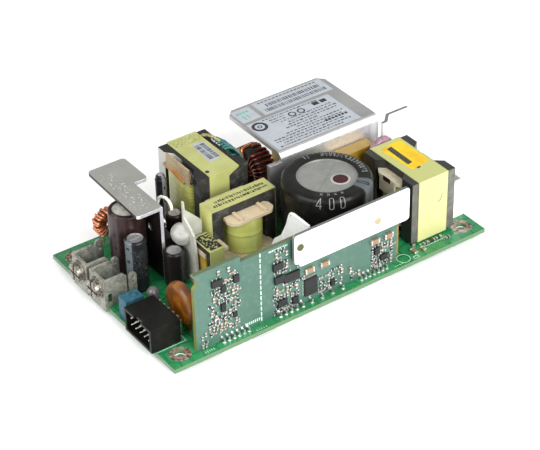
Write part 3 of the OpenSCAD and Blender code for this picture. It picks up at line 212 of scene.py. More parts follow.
class Coat:
    """A procedural finish. Nodes are added step by step; sizes are in mm."""

    def __init__(self, name, colour, rough=0.45, metal=0.0, edge=0.0):
        self.made = bpy.data.materials.new(name)
        self.made.use_nodes = True
        self.made.diffuse_color = (*colour, 1)
        self.nodes = self.made.node_tree.nodes
        self.links = self.made.node_tree.links
        self.shader = self.nodes["Principled BSDF"]
        self.shader.inputs["Base Color"].default_value = (*colour, 1)
        self.shader.inputs["Roughness"].default_value = rough
        self.shader.inputs["Metallic"].default_value = metal
        self.place = self.nodes.new("ShaderNodeTexCoord").outputs["Object"]
        self.colour = None
        self.base = (*colour, 1)
        self.normal = None
        if edge:
            soft = self.nodes.new("ShaderNodeBevel")
            soft.samples = 4
            soft.inputs["Radius"].default_value = edge * MM
            self.normal = soft.outputs["Normal"]
            self.links.new(self.normal, self.shader.inputs["Normal"])

    def math(self, what, a, b=None, c=None):
        """One step of arithmetic on sockets or numbers."""
        node = self.nodes.new("ShaderNodeMath")
        node.operation = what
        for socket, value in zip(node.inputs, (a, b, c)):
            if value is None:
                continue
            if isinstance(value, (int, float)):
                socket.default_value = value
            else:
                self.links.new(value, socket)
        return node.outputs[0]

    def times(self, a, *others):
        """The product of sockets or numbers."""
        for b in others:
            a = self.math("MULTIPLY", a, b)
        return a

    def axes(self):
        """x, y, z in mm from the board's front left top corner."""
        move = self.nodes.new("ShaderNodeVectorMath")
        move.operation = "SUBTRACT"
        self.links.new(self.place, move.inputs[0])
        move.inputs[1].default_value = CORNER
        scale = self.nodes.new("ShaderNodeVectorMath")
        scale.operation = "SCALE"
        self.links.new(move.outputs[0], scale.inputs[0])
        scale.inputs["Scale"].default_value = 1 / MM
        split = self.nodes.new("ShaderNodeSeparateXYZ")
        self.links.new(scale.outputs[0], split.inputs[0])
        return split.outputs

    def noise(self, size, stretch=(1, 1, 1)):
        """Soft noise with a grain of about size mm, drawn out along an axis if asked."""
        node = self.nodes.new("ShaderNodeTexNoise")
        node.inputs["Scale"].default_value = 1 / (size * MM)
        node.inputs["Detail"].default_value = 3.0
        scale = self.nodes.new("ShaderNodeMapping")
        scale.inputs["Scale"].default_value = [1 / s for s in stretch]
        self.links.new(self.place, scale.inputs["Vector"])
        self.links.new(scale.outputs[0], node.inputs["Vector"])
        return node.outputs["Fac"]

    def limits(self, value, low, high, a=0.0, b=1.0):
        """A value that goes from a to b as another goes from low to high, and stops there."""
        node = self.nodes.new("ShaderNodeMapRange")
        self.links.new(value, node.inputs["Value"])
        for name, number in (("From Min", low), ("From Max", high), ("To Min", a), ("To Max", b)):
            node.inputs[name].default_value = number
        return node.outputs[0]

    def over(self, colour, mask):
        """Lays a colour over what is there, where the mask is 1."""
        node = self.nodes.new("ShaderNodeMix")
        node.data_type = "RGBA"
        self.links.new(mask, node.inputs["Factor"])
        if self.colour is None:
            node.inputs["A"].default_value = self.base
        else:
            self.links.new(self.colour, node.inputs["A"])
        node.inputs["B"].default_value = (*colour, 1)
        self.colour = node.outputs["Result"]
        self.links.new(self.colour, self.shader.inputs["Base Color"])

    def mottle(self, size, colour, low=0.4, high=0.65):
        """Soft patches of another colour, about size mm across."""
        self.over(colour, self.limits(self.noise(size), low, high))

    def sheen_range(self, size, low, high, stretch=(1, 1, 1)):
        """Roughness that varies between two values."""
        roughness = self.limits(self.noise(size, stretch), 0.3, 0.7, low, high)
        self.links.new(roughness, self.shader.inputs["Roughness"])

    def relief(self, height, depth):
        """Adds a bump of a depth in mm from a height socket."""
        bump = self.nodes.new("ShaderNodeBump")
        bump.inputs["Distance"].default_value = depth * MM
        bump.inputs["Strength"].default_value = 1.0
        self.links.new(height, bump.inputs["Height"])
        if self.normal is not None:
            self.links.new(self.normal, bump.inputs["Normal"])
        self.normal = bump.outputs["Normal"]
        self.links.new(self.normal, self.shader.inputs["Normal"])

    def grain(self, size, depth, stretch=(1, 1, 1)):
        """A fine uneven surface, with a depth in mm."""
        self.relief(self.noise(size, stretch), depth)

    def put(self, name, value):
        """A constant on the shader's own socket."""
        self.shader.inputs[name].default_value = value

    def specular(self, level):
        """How much the surface mirrors; 0.5 is plain plastic."""
        self.put("Specular IOR Level", level)

    def lacquer(self, weight, rough=0.03):
        """A clear layer over the colour."""
        self.put("Coat Weight", weight)
        self.put("Coat Roughness", rough)

    def within(self, value, low, high, soft=0.02):
        """1 where a value lies between two limits."""
        rise = self.limits(value, low - soft, low + soft)
        fall = self.limits(value, high - soft, high + soft, 1.0, 0.0)
        return self.times(rise, fall)


def dress(coat, *nodes):
    """Gives parts of the frame their finish."""
    for node in nodes:
        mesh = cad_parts[node].data
        mesh.materials.clear()
        mesh.materials.append(coat.made)


def face_normal(coat, axis):
    """How far a face looks along an axis, from -1 to 1."""
    face = coat.nodes.new("ShaderNodeNewGeometry")
    split = coat.nodes.new("ShaderNodeSeparateXYZ")
    coat.links.new(face.outputs["True Normal"], split.inputs[0])
    return split.outputs[axis]


def facing(coat, axis, start=0.4, full=0.6):
    """1 on faces that look along an axis; negative numbers for the other way."""
    return coat.limits(face_normal(coat, axis), start, full)


def side_mask(coat):
    """1 on upright faces, 0 on level ones."""
    return coat.limits(coat.math("ABSOLUTE", face_normal(coat, "Z")), 0.45, 0.55, 1.0, 0.0)


def tracks(coat, pitch, low, high):
    """Copper tracks under the resist: cells of a coarse pattern with thin gaps between."""
    cells = coat.nodes.new("ShaderNodeTexVoronoi")
    cells.feature = "DISTANCE_TO_EDGE"
    cells.inputs["Scale"].default_value = 1 / (pitch * MM)
    cells.inputs["Randomness"].default_value = 0.55
    coat.links.new(coat.place, cells.inputs["Vector"])
    return coat.limits(cells.outputs["Distance"], low, high, 1.0, 0.0)


resist = Coat("green_resist", (0.012, 0.17, 0.055), rough=0.36)
resist.mottle(14, (0.018, 0.21, 0.07), 0.42, 0.6)
resist.over((0.008, 0.11, 0.036), tracks(resist, 5.5, 0.035, 0.06))
resist.mottle(2.4, (0.016, 0.145, 0.05), 0.52, 0.7)
resist.over((0.072, 0.148, 0.063), side_mask(resist))
resist.sheen_range(6, 0.22, 0.42)
resist.grain(0.8, 0.012)
resist.lacquer(0.25)
dress(resist, "main_board")

tin = Coat("tinned_copper", (0.74, 0.74, 0.72), rough=0.3, metal=1.0)
tin.mottle(0.8, (0.52, 0.51, 0.49), 0.45, 0.65)
tin.sheen_range(0.5, 0.18, 0.45)
tin.grain(0.35, 0.03)

hole_inset = 5.715
hole_r = 2.0
pad_r = 3.7
pad_t = 0.05
holes = [(x, y) for x in (hole_inset, board_l - hole_inset) for y in (hole_inset, board_w - hole_inset)]
pads = Form()
for x, y in holes:
    for low, high in ((0.0, pad_t), (-board_t - pad_t, -board_t)):
        pads.turned([(hole_r + 0.1, low), (pad_r, low), (pad_r, high), (hole_r + 0.1, high)], (x, y, 0))
bmesh.ops.delete(pads.bm, geom=[f for f in pads.bm.faces if len(f.verts) > 4], context="FACES_ONLY")
worn_tin = Coat("worn_ring_tin", (0.36, 0.32, 0.27), rough=0.4, metal=0.5)
worn_tin.mottle(1.1, (0.10, 0.055, 0.035), 0.40, 0.58)
worn_tin.mottle(0.5, (0.62, 0.58, 0.52), 0.6, 0.72)
worn_tin.grain(0.35, 0.04)
pads.piece("hole_rings", worn_tin, "tinned")

rim_copper_lit_liner = Coat("hole_copper_painted_light", (0.34, 0.19, 0.11), rough=0.4, metal=0.3)
rim_copper_lit_liner.mottle(0.7, (0.25, 0.13, 0.08))
# The upright hole walls are painted near white: painted light, standing in for the bright background
# seen through the holes.
rim_copper_lit_liner.over((0.97, 0.93, 0.86), side_mask(rim_copper_lit_liner))
liner_r = hole_r - 0.07
lip_r = hole_r + 0.35
rims = Form()
for x, y in holes:
    rings = []
    for r, z in ((liner_r, 0.07), (lip_r, 0.07), (lip_r, 0.04), (liner_r, -board_t - 0.04)):
        angles = [a * math.pi / 20 for a in range(40)]
        rings.append(rims.ring([(x + r * math.cos(a), y + r * math.sin(a), z) for a in angles]))
    rims.skin(rings, closed_ends=False)
rims.piece("hole_liners", rim_copper_lit_liner, "tinned")

ink = Coat("white_print", (0.50, 0.66, 0.56), rough=0.6)
ink.mottle(0.6, (0.25, 0.45, 0.33), 0.5, 0.7)
ink.grain(0.3, 0.01)
print_t = 0.03


def printed_line(form, a, b, width=0.18):
    """A printed line on the board, from a to b."""
    a, b = Vector(a), Vector(b)
    along = (b - a).normalized()
    across = Vector((-along.y, along.x)) * width / 2
    corners = [a - across, b - across, b + across, a + across]
    form.plate([(c.x, c.y) for c in corners], 0.0, print_t)


def printed_frame(form, low, high):
    """A printed rectangle between two corners."""
    corners = [low, (high[0], low[1]), high, (low[0], high[1])]
    for a, b in zip(corners, corners[1:] + corners[:1]):
        printed_line(form, a, b)


legend = Form()
header_low, header_high = span("signal_header")
outline = [(0.2, header_low.y - 0.5), (header_high.x + 1.6, header_low.y - 0.5),
           (header_high.x + 1.6, header_high.y + 0.5)]
for a, b in zip(outline, outline[1:]):
    printed_line(legend, a, b)
printed_frame(legend, (103.2, 4.2), (112.6, 6.2))
printed_frame(legend, (22.5, 55.5), (23.4, 74.5))
printed_frame(legend, (96.8, 0.7), (98.8, 1.9))
for i in range(5):
    printed_line(legend, (12.6 + 0.8 * i, 1.0), (12.6 + 0.8 * i, 1.9), 0.2)
    printed_line(legend, (32.0 + 0.9 * i, 0.5), (32.0 + 0.9 * i, 1.2), 0.2)
for i in range(4):
    printed_line(legend, (88.4 + 1.0 * i, 1.2), (89.0 + 1.0 * i, 1.2), 0.25)
    printed_line(legend, (117.0 + 0.8 * i, 3.2), (117.0 + 0.8 * i, 4.2), 0.2)
ring_x, ring_y, ring_r, ring_sides = 93.7, 3.1, 2.3, 24
for i in range(ring_sides):
    a = 2 * math.pi * i / ring_sides
    b = 2 * math.pi * (i + 1) / ring_sides
    printed_line(legend, (ring_x + ring_r * math.cos(a), ring_y + ring_r * math.sin(a)),
                 (ring_x + ring_r * math.cos(b), ring_y + ring_r * math.sin(b)), 0.2)
legend.piece("board_print", ink, "green_board", smooth=0)

# ---- solder joints ----
# Every lead and pin comes out under the board, where a cone of solder wets it and holds it to
# its ring of copper.
tips = []
for node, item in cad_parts.items():
    if node == "main_board":
        continue
    for v in item.data.vertices:
        p = (v.co - CORNER) / MM
        if p.z < -board_t - 1.2 and not any((p.xy - t).length < 0.9 for t in tips):
            tips.append(p.xy.copy())
joints = Form()
for tip in tips:
    joints.turned([(0.62, -board_t - 1.15), (0.7, -board_t - 0.8), (0.95, -board_t - 0.3),
                   (1.3, -board_t)], (tip.x, tip.y, 0), steps=16)
joints.piece("solder_joints", tin, "tinned")

# ---- small parts on the main board ----
# Chip parts soldered flat on the laminate: dark or tan ceramic bodies with bright ends.
tan = Coat("tan_ceramic", (0.25, 0.155, 0.085), rough=0.42, edge=0.06)
tan.mottle(0.5, (0.16, 0.095, 0.05), 0.4, 0.7)
tan.grain(0.2, 0.01)
dark_chip = Coat("dark_chip", (0.014, 0.014, 0.014), rough=0.4, edge=0.05)
dark_chip.mottle(0.4, (0.05, 0.05, 0.055), 0.5, 0.7)
dark_chip.grain(0.15, 0.01)
bare_end = Coat("chip_ends", (0.68, 0.68, 0.65), rough=0.3, metal=0.8)
bare_end.mottle(0.5, (0.24, 0.24, 0.23), 0.48, 0.64)
# each chip: middle along the board, middle across it, width, depth, body
flat_chips = [
    (99, 3.9, 1.6, 2.6, "tan"), (102.3, 3.1, 1.3, 1.8, "tan"), (101, 7.6, 1.2, 2.0, "dark"),
    (107.4, 5.2, 2.6, 1.0, "dark"), (110.6, 5.2, 1.8, 1.0, "dark"),
    (104.9, 5.2, 1.4, 1.0, "dark"), (8.2, 28.2, 1.2, 2.0, "dark"),
    (31.5, 44.6, 1.2, 2.0, "tan"), (35.2, 25.0, 2.0, 1.2, "dark"),
    (64.4, 13.0, 1.2, 2.0, "tan"), (119.5, 30.5, 2.0, 1.2, "dark"),
    (122.6, 32.0, 2.0, 1.2, "tan"), (66.9, 52.0, 1.2, 2.0, "dark"),
    (97.0, 36.4, 2.0, 1.2, "tan"), (113.2, 3.4, 1.4, 0.9, "dark")]
bodies = {"tan": Form(), "dark": Form()}
ends = Form()
chip_h = 0.75
end_half = 0.22
proud = 0.05
for x, y, w, l, kind in flat_chips:
    bodies[kind].box((x - w / 2, y - l / 2, 0.03), (x + w / 2, y + l / 2, chip_h))
    for s in (-1, 1):
        if l > w:
            half_x, half_y = w / 2 + proud, end_half
            end_x, end_y = x, y + s * (l / 2 - 0.1)
        else:
            half_x, half_y = end_half, l / 2 + proud
            end_x, end_y = x + s * (w / 2 - 0.1), y
        ends.box((end_x - half_x, end_y - half_y, 0.0), (end_x + half_x, end_y + half_y, chip_h + 0.04))
bodies["tan"].piece("board_chips_tan", tan, "tan_ceramic", bevel=0.06)
bodies["dark"].piece("board_chips_dark", dark_chip, "black_moulding", bevel=0.06)
ends.piece("board_chip_ends", bare_end, "tinned", bevel=0.05)

# ---- control board ----
# A second laminate board stands on edge along the front. Its resist is a greyer green, its
# cut edges are yellowish, and a printed dashed line parts the low voltage side.
slate = Coat("control_resist", (0.046, 0.112, 0.082), rough=0.5)
slate.mottle(20, (0.038, 0.096, 0.070), 0.42, 0.6)
slate.over((0.040, 0.098, 0.072), tracks(slate, 3.2, 0.03, 0.05))
slate.mottle(1.6, (0.058, 0.124, 0.094), 0.5, 0.7)
control_low, control_high = span("control_board")
# The cut edges get three tones by the way they face: the top edge is painted darkest and the left end
# darker than the right end, painted shade on one laminate edge.
slate.over((0.075, 0.10, 0.045), facing(slate, "Z"))
slate.over((0.30, 0.25, 0.075), facing(slate, "X"))
slate.over((0.16, 0.17, 0.045), facing(slate, "X", -0.4, -0.6))
slate.sheen_range(8, 0.28, 0.48)
slate.grain(0.7, 0.012)
slate.lacquer(0.08)
dress(slate, "control_board")

front = control_low.y


def on_front(form, x, z, half_x, half_z, out):
    """A block on the front of the control board, out mm thick."""
    form.box((x - half_x, front - out, z - half_z), (x + half_x, front, z + half_z))


dashes = Form()
dash_x = control_low.x + 24.9
dash_l = 1.5
dash_pitch = 2.1
z = 0.6
while z < control_high.z - 3.4:
    on_front(dashes, dash_x, z + dash_l / 2, 0.2, dash_l / 2, 0.04)
    z += dash_pitch
for i in range(12):
    x = control_low.x + 28.3 + 0.62 * i
    dashes.box((x, front - 0.03, 25.9), (x + 0.35, front, 26.5))
for i in range(9):
    x = control_low.x + 18.6 + 0.75 * i
    dashes.box((x, front - 0.03, 1.2), (x + 0.35, front, 2.3))
dashes.piece("control_print", ink, "teal_board", smooth=0)

# ---- chips on the control board ----
# Moulded packages with bent tinned legs, and dense rows of chip resistors and capacitors
# whose bright ends make the board glitter.
moulded = Coat("chip_moulding", (0.009, 0.009, 0.009), rough=0.42, edge=0.08)
moulded.mottle(0.5, (0.022, 0.022, 0.023), 0.5, 0.75)
moulded.specular(0.3)
moulded.sheen_range(0.8, 0.32, 0.55)
moulded.grain(0.12, 0.012)
dress(moulded, "control_chips")
dress(tan, "control_passives")
dress(tin, "control_pins")
square_legs = 9
leg_inset = 0.6
leg_out = 0.3
legs = Form()
for low, high in solids("control_chips"):
    wide = high.x - low.x
    tall = high.z - low.z
    if wide > 4.5 and tall > 5:
        for i in range(square_legs):
            t = i / (square_legs - 1)
            for s, edge in ((-1, low.x), (1, high.x)):
                z = low.z + leg_inset + t * (tall - 2 * leg_inset)
                on_front(legs, edge + s * leg_out, z, leg_out, 0.12, 0.2)
            for s, edge in ((-1, low.z), (1, high.z)):
                x = low.x + leg_inset + t * (wide - 2 * leg_inset)
                on_front(legs, x, edge + s * leg_out, 0.12, leg_out, 0.2)
        continue
    count = 4 if wide > 5 else 3 if wide > 3 else 2
    for i in range(count):
        for s, edge in ((-1, low.z), (1, high.z)):
            x = low.x + 0.45 + i * (wide - 0.9) / max(count - 1, 1)
            on_front(legs, x, edge + s * 0.25, 0.17, 0.35, 0.32)
legs.piece("chip_legs", bare_end, "tinned", bevel=0.04)

taken = solids("control_chips") + solids("control_passives")
half_wide = 0.32
half_long = 0.62
chip_out = 0.42
cap_half = 0.15
cap_proud = 0.03
steps_across = (0.95, 1.5)
steps_up = (0.95, 1.2)
draw = random.Random(7)
rows = {"dark": Form(), "tan": Form(), "pale": Form()}
row_ends = Form()


def is_free(x, z, half_x, half_z):
    """True where a small part fits between those already placed."""
    gap_x = half_x + 0.1
    gap_z = half_z + 0.1
    return not any(low.x - gap_x < x < high.x + gap_x and low.z - gap_z < z < high.z + gap_z
                   for low, high in taken)


def chip_field(x0, x1, z0, z1, fill):
    """Fills a field of the control board with rows of chip parts."""
    z = z0
    while z < z1:
        x = x0 + draw.uniform(0, 0.6)
        while x < x1:
            upright = draw.random() < 0.5
            half_x, half_z = (half_wide, half_long) if upright else (half_long, half_wide)
            if draw.random() < fill and is_free(x, z, half_x, half_z):
                kind = draw.choice(("dark", "dark", "dark", "dark", "tan", "pale", "pale"))
                half = Vector((half_x, 0, half_z))
                taken.append((Vector((x, 0, z)) - half, Vector((x, 0, z)) + half))
                on_front(rows[kind], x, z, half_x, half_z, chip_out)
                for s in (-1, 1):
                    out = chip_out + cap_proud
                    if upright:
                        on_front(row_ends, x, z + s * half_z, half_x + cap_proud, cap_half, out)
                    else:
                        on_front(row_ends, x + s * half_x, z, cap_half, half_z + cap_proud, out)
            x += draw.uniform(*steps_across)
        z += draw.uniform(*steps_up)


# each field: left, right, bottom, top, share of places that are filled
fields = [
    (17.2, 27.2, 17.6, 25.4, 0.8), (15.6, 27.2, 4.2, 16.6, 0.8), (41.2, 45.6, 14.0, 26.2, 0.85),
    (40.6, 50.6, 0.7, 13.6, 0.9), (51.0, 53.6, 9.6, 12.6, 0.7), (58.6, 63.0, 2.0, 8.0, 0.7),
    (63.8, 67.6, 3.4, 8.8, 0.7), (71.4, 74.0, 1.8, 6.0, 0.6), (80.2, 89.4, 1.8, 10.8, 0.85),
    (12.4, 15.0, 1.0, 5.6, 0.5)]
for field in fields:
    chip_field(*field)
pale_chip = Coat("pale_chip", (0.24, 0.21, 0.19), rough=0.5)
pale_chip.mottle(0.4, (0.10, 0.08, 0.07), 0.45, 0.65)
rows["dark"].piece("control_resistors", dark_chip, "black_moulding", bevel=0.04)
rows["tan"].piece("control_capacitors", tan, "tan_ceramic", bevel=0.04)
rows["pale"].piece("control_pale_chips", pale_chip, "tan_ceramic", bevel=0.04)
for low, high in solids("control_passives"):
    wide = high.x - low.x
    tall = high.z - low.z
    out = low.y - 0.03
    for s in (-1, 1):
        if wide > tall:
            x = (low.x + high.x) / 2 + s * (wide / 2 - 0.2)
            row_ends.box((x - 0.28, out, low.z - 0.04), (x + 0.28, front, high.z + 0.04))
        else:
            z = (low.z + high.z) / 2 + s * (tall / 2 - 0.15)
            row_ends.box((low.x - 0.04, out, z - 0.22), (high.x + 0.04, front, z + 0.22))
row_ends.piece("control_chip_ends", bare_end, "tinned", bevel=0.04)

pads = Form()
for low, high in solids("control_pins"):
    x = (low.x + high.x) / 2
    pads.box((x - 0.4, front - 0.12, 0.5), (x + 0.4, front, 1.9))
    pads.turned([(0.75, 0), (0.6, 0.1), (0.35, 0.35)], (x, (low.y + high.y) / 2 - 0.5, 0), steps=16)
pads.piece("control_pin_solder", bare_end, "tinned", bevel=0.08)

# ---- front spreader plate ----
# Bright anodised aluminium, punched from sheet with rounded corners. Two rivets hold it off the
# front of the control board.
plate = Coat("bright_plate", (0.93, 0.935, 0.94), rough=0.42, metal=0.35, edge=0.15)
plate.mottle(9, (0.90, 0.90, 0.91), 0.4, 0.6)
plate.sheen_range(2, 0.35, 0.5, stretch=(8, 1, 1))
plate.grain(0.3, 0.006, stretch=(12, 1, 1))
# The top edges and the left end of the plate are painted dark grey: painted shade on the same metal.
plate.over((0.14, 0.14, 0.14), facing(plate, "Z"))
plate.over((0.24, 0.24, 0.24), facing(plate, "X", -0.4, -0.6))
dress(plate, "front_spreader")
rivet = Coat("rivet_brass", (0.48, 0.41, 0.25), rough=0.4, metal=0.8, edge=0.1)
rivet.mottle(0.5, (0.45, 0.38, 0.22))
rivet.over((0.10, 0.11, 0.05), rivet.limits(rivet.axes()["X"], 60.0, 61.0, 1.0, 0.0))
dress(rivet, "front_rivets")

# ---- bulk capacitor ----
# An aluminium can with a scored lid in a black shrunk sleeve. A grey stripe down the sleeve
# carries minus marks, its rim has plain strokes and a number, and red lacquer marks the lid.
bulk_x, bulk_y, _ = middle_of("bulk_can")
bulk_top = span("bulk_can")[1].z
lid = Coat("can_aluminium", (0.265, 0.27, 0.25), rough=0.45, metal=0.5, edge=0.1)
lid.mottle(3, (0.235, 0.24, 0.225))
lid.sheen_range(1.5, 0.3, 0.5)
lid.grain(0.3, 0.01)
dress(lid, "bulk_can")


def sleeve_coat(name, colour, stripe, node, stripe_at, stripe_half, mark_to):
    """Shrunk sleeve with a stripe at an angle round the can and short marks down the stripe."""
    coat = Coat(name, colour, rough=0.3, edge=0.9)
    middle = middle_of(node)
    x, y, z = coat.axes()
    dx = coat.math("SUBTRACT", x, middle.x)
    dy = coat.math("SUBTRACT", y, middle.y)
    angle = coat.math("ARCTAN2", dy, dx)
    turned = coat.math("SUBTRACT", angle, math.radians(stripe_at))
    away = coat.math("ABSOLUTE", coat.math("WRAP", turned, math.pi, -math.pi))
    half = math.radians(stripe_half)
    band = coat.limits(away, half - 0.02, half + 0.02, 1.0, 0.0)
    coat.mottle(5, tuple(c * 1.5 + 0.004 for c in colour), 0.45, 0.7)
    coat.over(stripe, band)
    centre = coat.limits(away, half * 0.4, half * 0.45, 1.0, 0.0)
    pitch = coat.math("FRACT", coat.math("DIVIDE", z, 5.2))
    dash = coat.times(centre, coat.within(pitch, 0.3, 0.5))
    dash = coat.times(dash, coat.within(z, 2, mark_to))
    coat.over((0.02, 0.02, 0.02), dash)
    coat.sheen_range(4, 0.2, 0.4)
    coat.grain(2.5, 0.05)
    coat.specular(0.14)
    coat.lacquer(0.1, 0.1)
    return coat


bulk_coat = sleeve_coat("bulk_sleeve_black", (0.005, 0.005, 0.004), (0.078, 0.088, 0.096),
                        "bulk_sleeve", -58, 13, 20)
dress(bulk_coat, "bulk_sleeve")
lacquer = Coat("red_lacquer", (0.030, 0.007, 0.007), rough=0.45)
lacquer.mottle(0.8, (0.042, 0.010, 0.010))
lacquer.specular(0.25)
halo = Coat("lacquer_halo", (0.34, 0.30, 0.285), rough=0.4)
halo.mottle(0.6, (0.30, 0.29, 0.275), 0.4, 0.6)
dab_at = (bulk_x + 2.8, bulk_y - 3.7, bulk_top - 0.42)
dab = Form()
dab.turned([(0, 0), (2.65, 0), (2.55, 0.1), (2.0, 0.16), (0, 0.18)], dab_at, steps=36)
dab.piece("lid_lacquer", lacquer, "black_sleeve")
rim = Form()
rim.turned([(0, 0), (3.4, 0), (3.3, 0.05), (0, 0.06)], dab_at, steps=36)
rim.piece("lid_halo", halo, "bright_aluminium")
sleeve_low, sleeve_high = span("bulk_sleeve")
sleeve_r = (sleeve_high.x - sleeve_low.x) / 2
shoulder = 1.8


def on_sleeve(angle, down, out):
    """A point on the sleeve: angle round it, mm down from where the shoulder starts, mm out."""
    a = math.radians(angle)
    if down < 0:
        r, z = sleeve_r - shoulder + down, sleeve_high.z + out
    elif down < shoulder * math.pi / 2:
        r = sleeve_r - shoulder + (shoulder + out) * math.sin(down / shoulder)
        z = sleeve_high.z - shoulder + (shoulder + out) * math.cos(down / shoulder)
    else:
        r, z = sleeve_r + out, sleeve_high.z - shoulder - (down - shoulder * math.pi / 2)
    return Vector((bulk_x + r * math.cos(a), bulk_y + r * math.sin(a), z))


def stroke(form, angle, chain, width=0.34):
    """A printed stroke that follows the sleeve through (mm along, mm down) points."""
    for a, b in zip(chain, chain[1:]):
        a, b = Vector(a), Vector(b)
        steps = max(1, round((b - a).length / 0.4))
        across = Vector((a.y - b.y, b.x - a.x)).normalized() * width / 2
        rings = []
        for i in range(steps + 1):
            p = a.lerp(b, i / steps)
            corners = ((p - across, 0.03), (p + across, 0.03), (p + across, -0.02), (p - across, -0.02))
            rings.append(form.ring([on_sleeve(angle + math.degrees(q.x / sleeve_r), q.y, out)
                                    for q, out in corners]))
        form.skin(rings)


print_grey = Coat("sleeve_print", (0.19, 0.20, 0.20), rough=0.5)
print_grey.mottle(0.6, (0.09, 0.095, 0.095), 0.45, 0.7)
four = [(0.5, 4.3), (0.5, 0.2), (-0.9, 3.1), (1.0, 3.1)]
nought = [(-0.7, 0.5), (-0.3, 0.2), (0.3, 0.2), (0.7, 0.5), (0.7, 4.0),
          (0.3, 4.3), (-0.3, 4.3), (-0.7, 4.0), (-0.7, 0.5)]
sleeve_marks = Form()
for angle, chain in ((-137, four), (-121, nought), (-107, nought)):
    stroke(sleeve_marks, angle, chain, 0.28)
draw = random.Random(9)
for k in range(4):
    for side in (-0.5, 0.5):
        stroke(sleeve_marks, -136 + 11.5 * k, [(side, -2.6), (-side, -1.6)], 0.3)
for k in range(15):
    angle = -26 + 6.2 * k
    for j in range(2):
        u = draw.uniform(-0.7, 0.0)
        start = (u, -2.0 + draw.uniform(0, 0.5))
        stroke(sleeve_marks, angle, [start, (u + draw.uniform(0.1, 0.7), 0.1)], 0.3)
    stroke(sleeve_marks, angle, [(-0.6, -1.8 * draw.random()), (0.6, -1.8 * draw.random())], 0.3)
stroke(sleeve_marks, 86, [(-0.6, -1.8), (-0.6, 0.0)])
stroke(sleeve_marks, 86, [(0.9, -1.6), (0.9, 0.2)])
sleeve_marks.piece("sleeve_marks", print_grey, "black_sleeve", smooth=0)
minus = Form()
capsule = [(-0.6, -2.6), (-0.3, -3.1), (0.3, -3.1), (0.6, -2.6), (0.6, 0.6),
           (0.3, 1.1), (-0.3, 1.1), (-0.6, 0.6), (-0.6, -2.6)]
stroke(minus, -57, capsule, 0.42)
minus.piece("stripe_minus", moulded, "black_sleeve", smooth=0)

# ---- output capacitor and the small capacitors ----
# Rolled aluminium cans in shrunk sleeves: dark brown on the large one, black with a grey
# stripe on the others, all with a bare scored lid.
brown_coat = sleeve_coat("brown_sleeve", (0.016, 0.0075, 0.007), (0.05, 0.036, 0.038),
                         "output_sleeve", -165, 14, 22)
dress(brown_coat, "output_sleeve")
pale_lid = Coat("output_lid", (0.60, 0.60, 0.53), rough=0.4, metal=0.3, edge=0.2)
pale_lid.mottle(1.6, (0.42, 0.43, 0.38), 0.45, 0.65)
pale_lid.grain(0.4, 0.02)
dress(pale_lid, "output_can")


def lidded(coat, node):
    """Bare metal on the lid of a small capacitor, inside the turned edge of its sleeve."""
    low, high = span(node)
    x, y, z = coat.axes()
    dx = coat.math("SUBTRACT", x, (low.x + high.x) / 2)
    dy = coat.math("SUBTRACT", y, (low.y + high.y) / 2)
    out = coat.math("SQRT", coat.math("ADD", coat.times(dx, dx), coat.times(dy, dy)))
    r = (high.x - low.x) / 2
    inside = coat.limits(out, r - 1.05, r - 0.95, 1.0, 0.0)
    top = coat.times(inside, coat.limits(z, high.z - 0.9, high.z - 0.7))
    coat.over((0.5, 0.5, 0.5), top)
    coat.links.new(coat.times(top, 0.8), coat.shader.inputs["Metallic"])
    return coat


for node, name, colour, stripe, at in (
        ("filter_capacitor", "filter_sleeve", (0.008, 0.009, 0.010), (0.10, 0.12, 0.13), -165),
        ("snubber", "snubber_sleeve", (0.010, 0.010, 0.012), (0.16, 0.17, 0.17), -80),
        ("supply_capacitor", "supply_sleeve", (0.010, 0.007, 0.008), (0.035, 0.033, 0.034), -60),
        ("damping_capacitor", "damping_sleeve", (0.018, 0.008, 0.008), (0.10, 0.07, 0.07), 40)):
    coat = lidded(sleeve_coat(name, colour, stripe, node, at, 24, span(node)[1].z - 2), node)
    if node == "filter_capacitor":
        x, y, z = coat.axes()
        field = coat.times(coat.within(z, 6.0, 17.0, 0.5), facing(coat, "Y", -0.2, -0.6))
        print_noise = coat.limits(coat.noise(0.7, stretch=(1, 1, 0.6)), 0.54, 0.58)
        coat.over((0.045, 0.05, 0.05), coat.times(field, print_noise))
    dress(coat, node)

# ---- heatsinks ----
# Folded aluminium sheet. The large flange is satin with rolled grain along its length, the
# left one is duller, and the sheet by the mains connector is bright.
satin = Coat("satin_sheet", (0.48, 0.48, 0.475), rough=0.36, metal=0.85, edge=0.3)
satin.mottle(12, (0.41, 0.41, 0.405))
satin.sheen_range(1.2, 0.28, 0.42, stretch=(1, 14, 1))
satin.grain(0.25, 0.006, stretch=(1, 20, 1))
# Faces that look to the front are painted near white: a painted reflection of the pale floor.
satin.over((0.93, 0.93, 0.93), facing(satin, "Y", -0.3, -0.6))
dress(satin, "main_heatsink")
dull = Coat("dull_sheet", (0.385, 0.39, 0.355), rough=0.42, metal=0.7, edge=0.3)
dull.mottle(8, (0.35, 0.355, 0.325))
x, y, z = dull.axes()
# Bright flecks painted on the top faces in one patch: painted glints of light on the sheet.
glint_patch = dull.times(dull.within(x, 16.5, 22.0, 0.8), dull.within(y, 45.0, 69.0, 2.0))
glint_flecks = dull.limits(dull.noise(0.55, stretch=(1, 1.6, 1)), 0.60, 0.66)
dull.over((0.85, 0.85, 0.82), dull.times(glint_patch, glint_flecks, facing(dull, "Z")))
# Faces that look to the left are painted near black with a brown tint: painted shade under the flange
# and a painted reflection of the brown capacitor.
dull.over((0.035, 0.028, 0.027), facing(dull, "X", -0.4, -0.6))
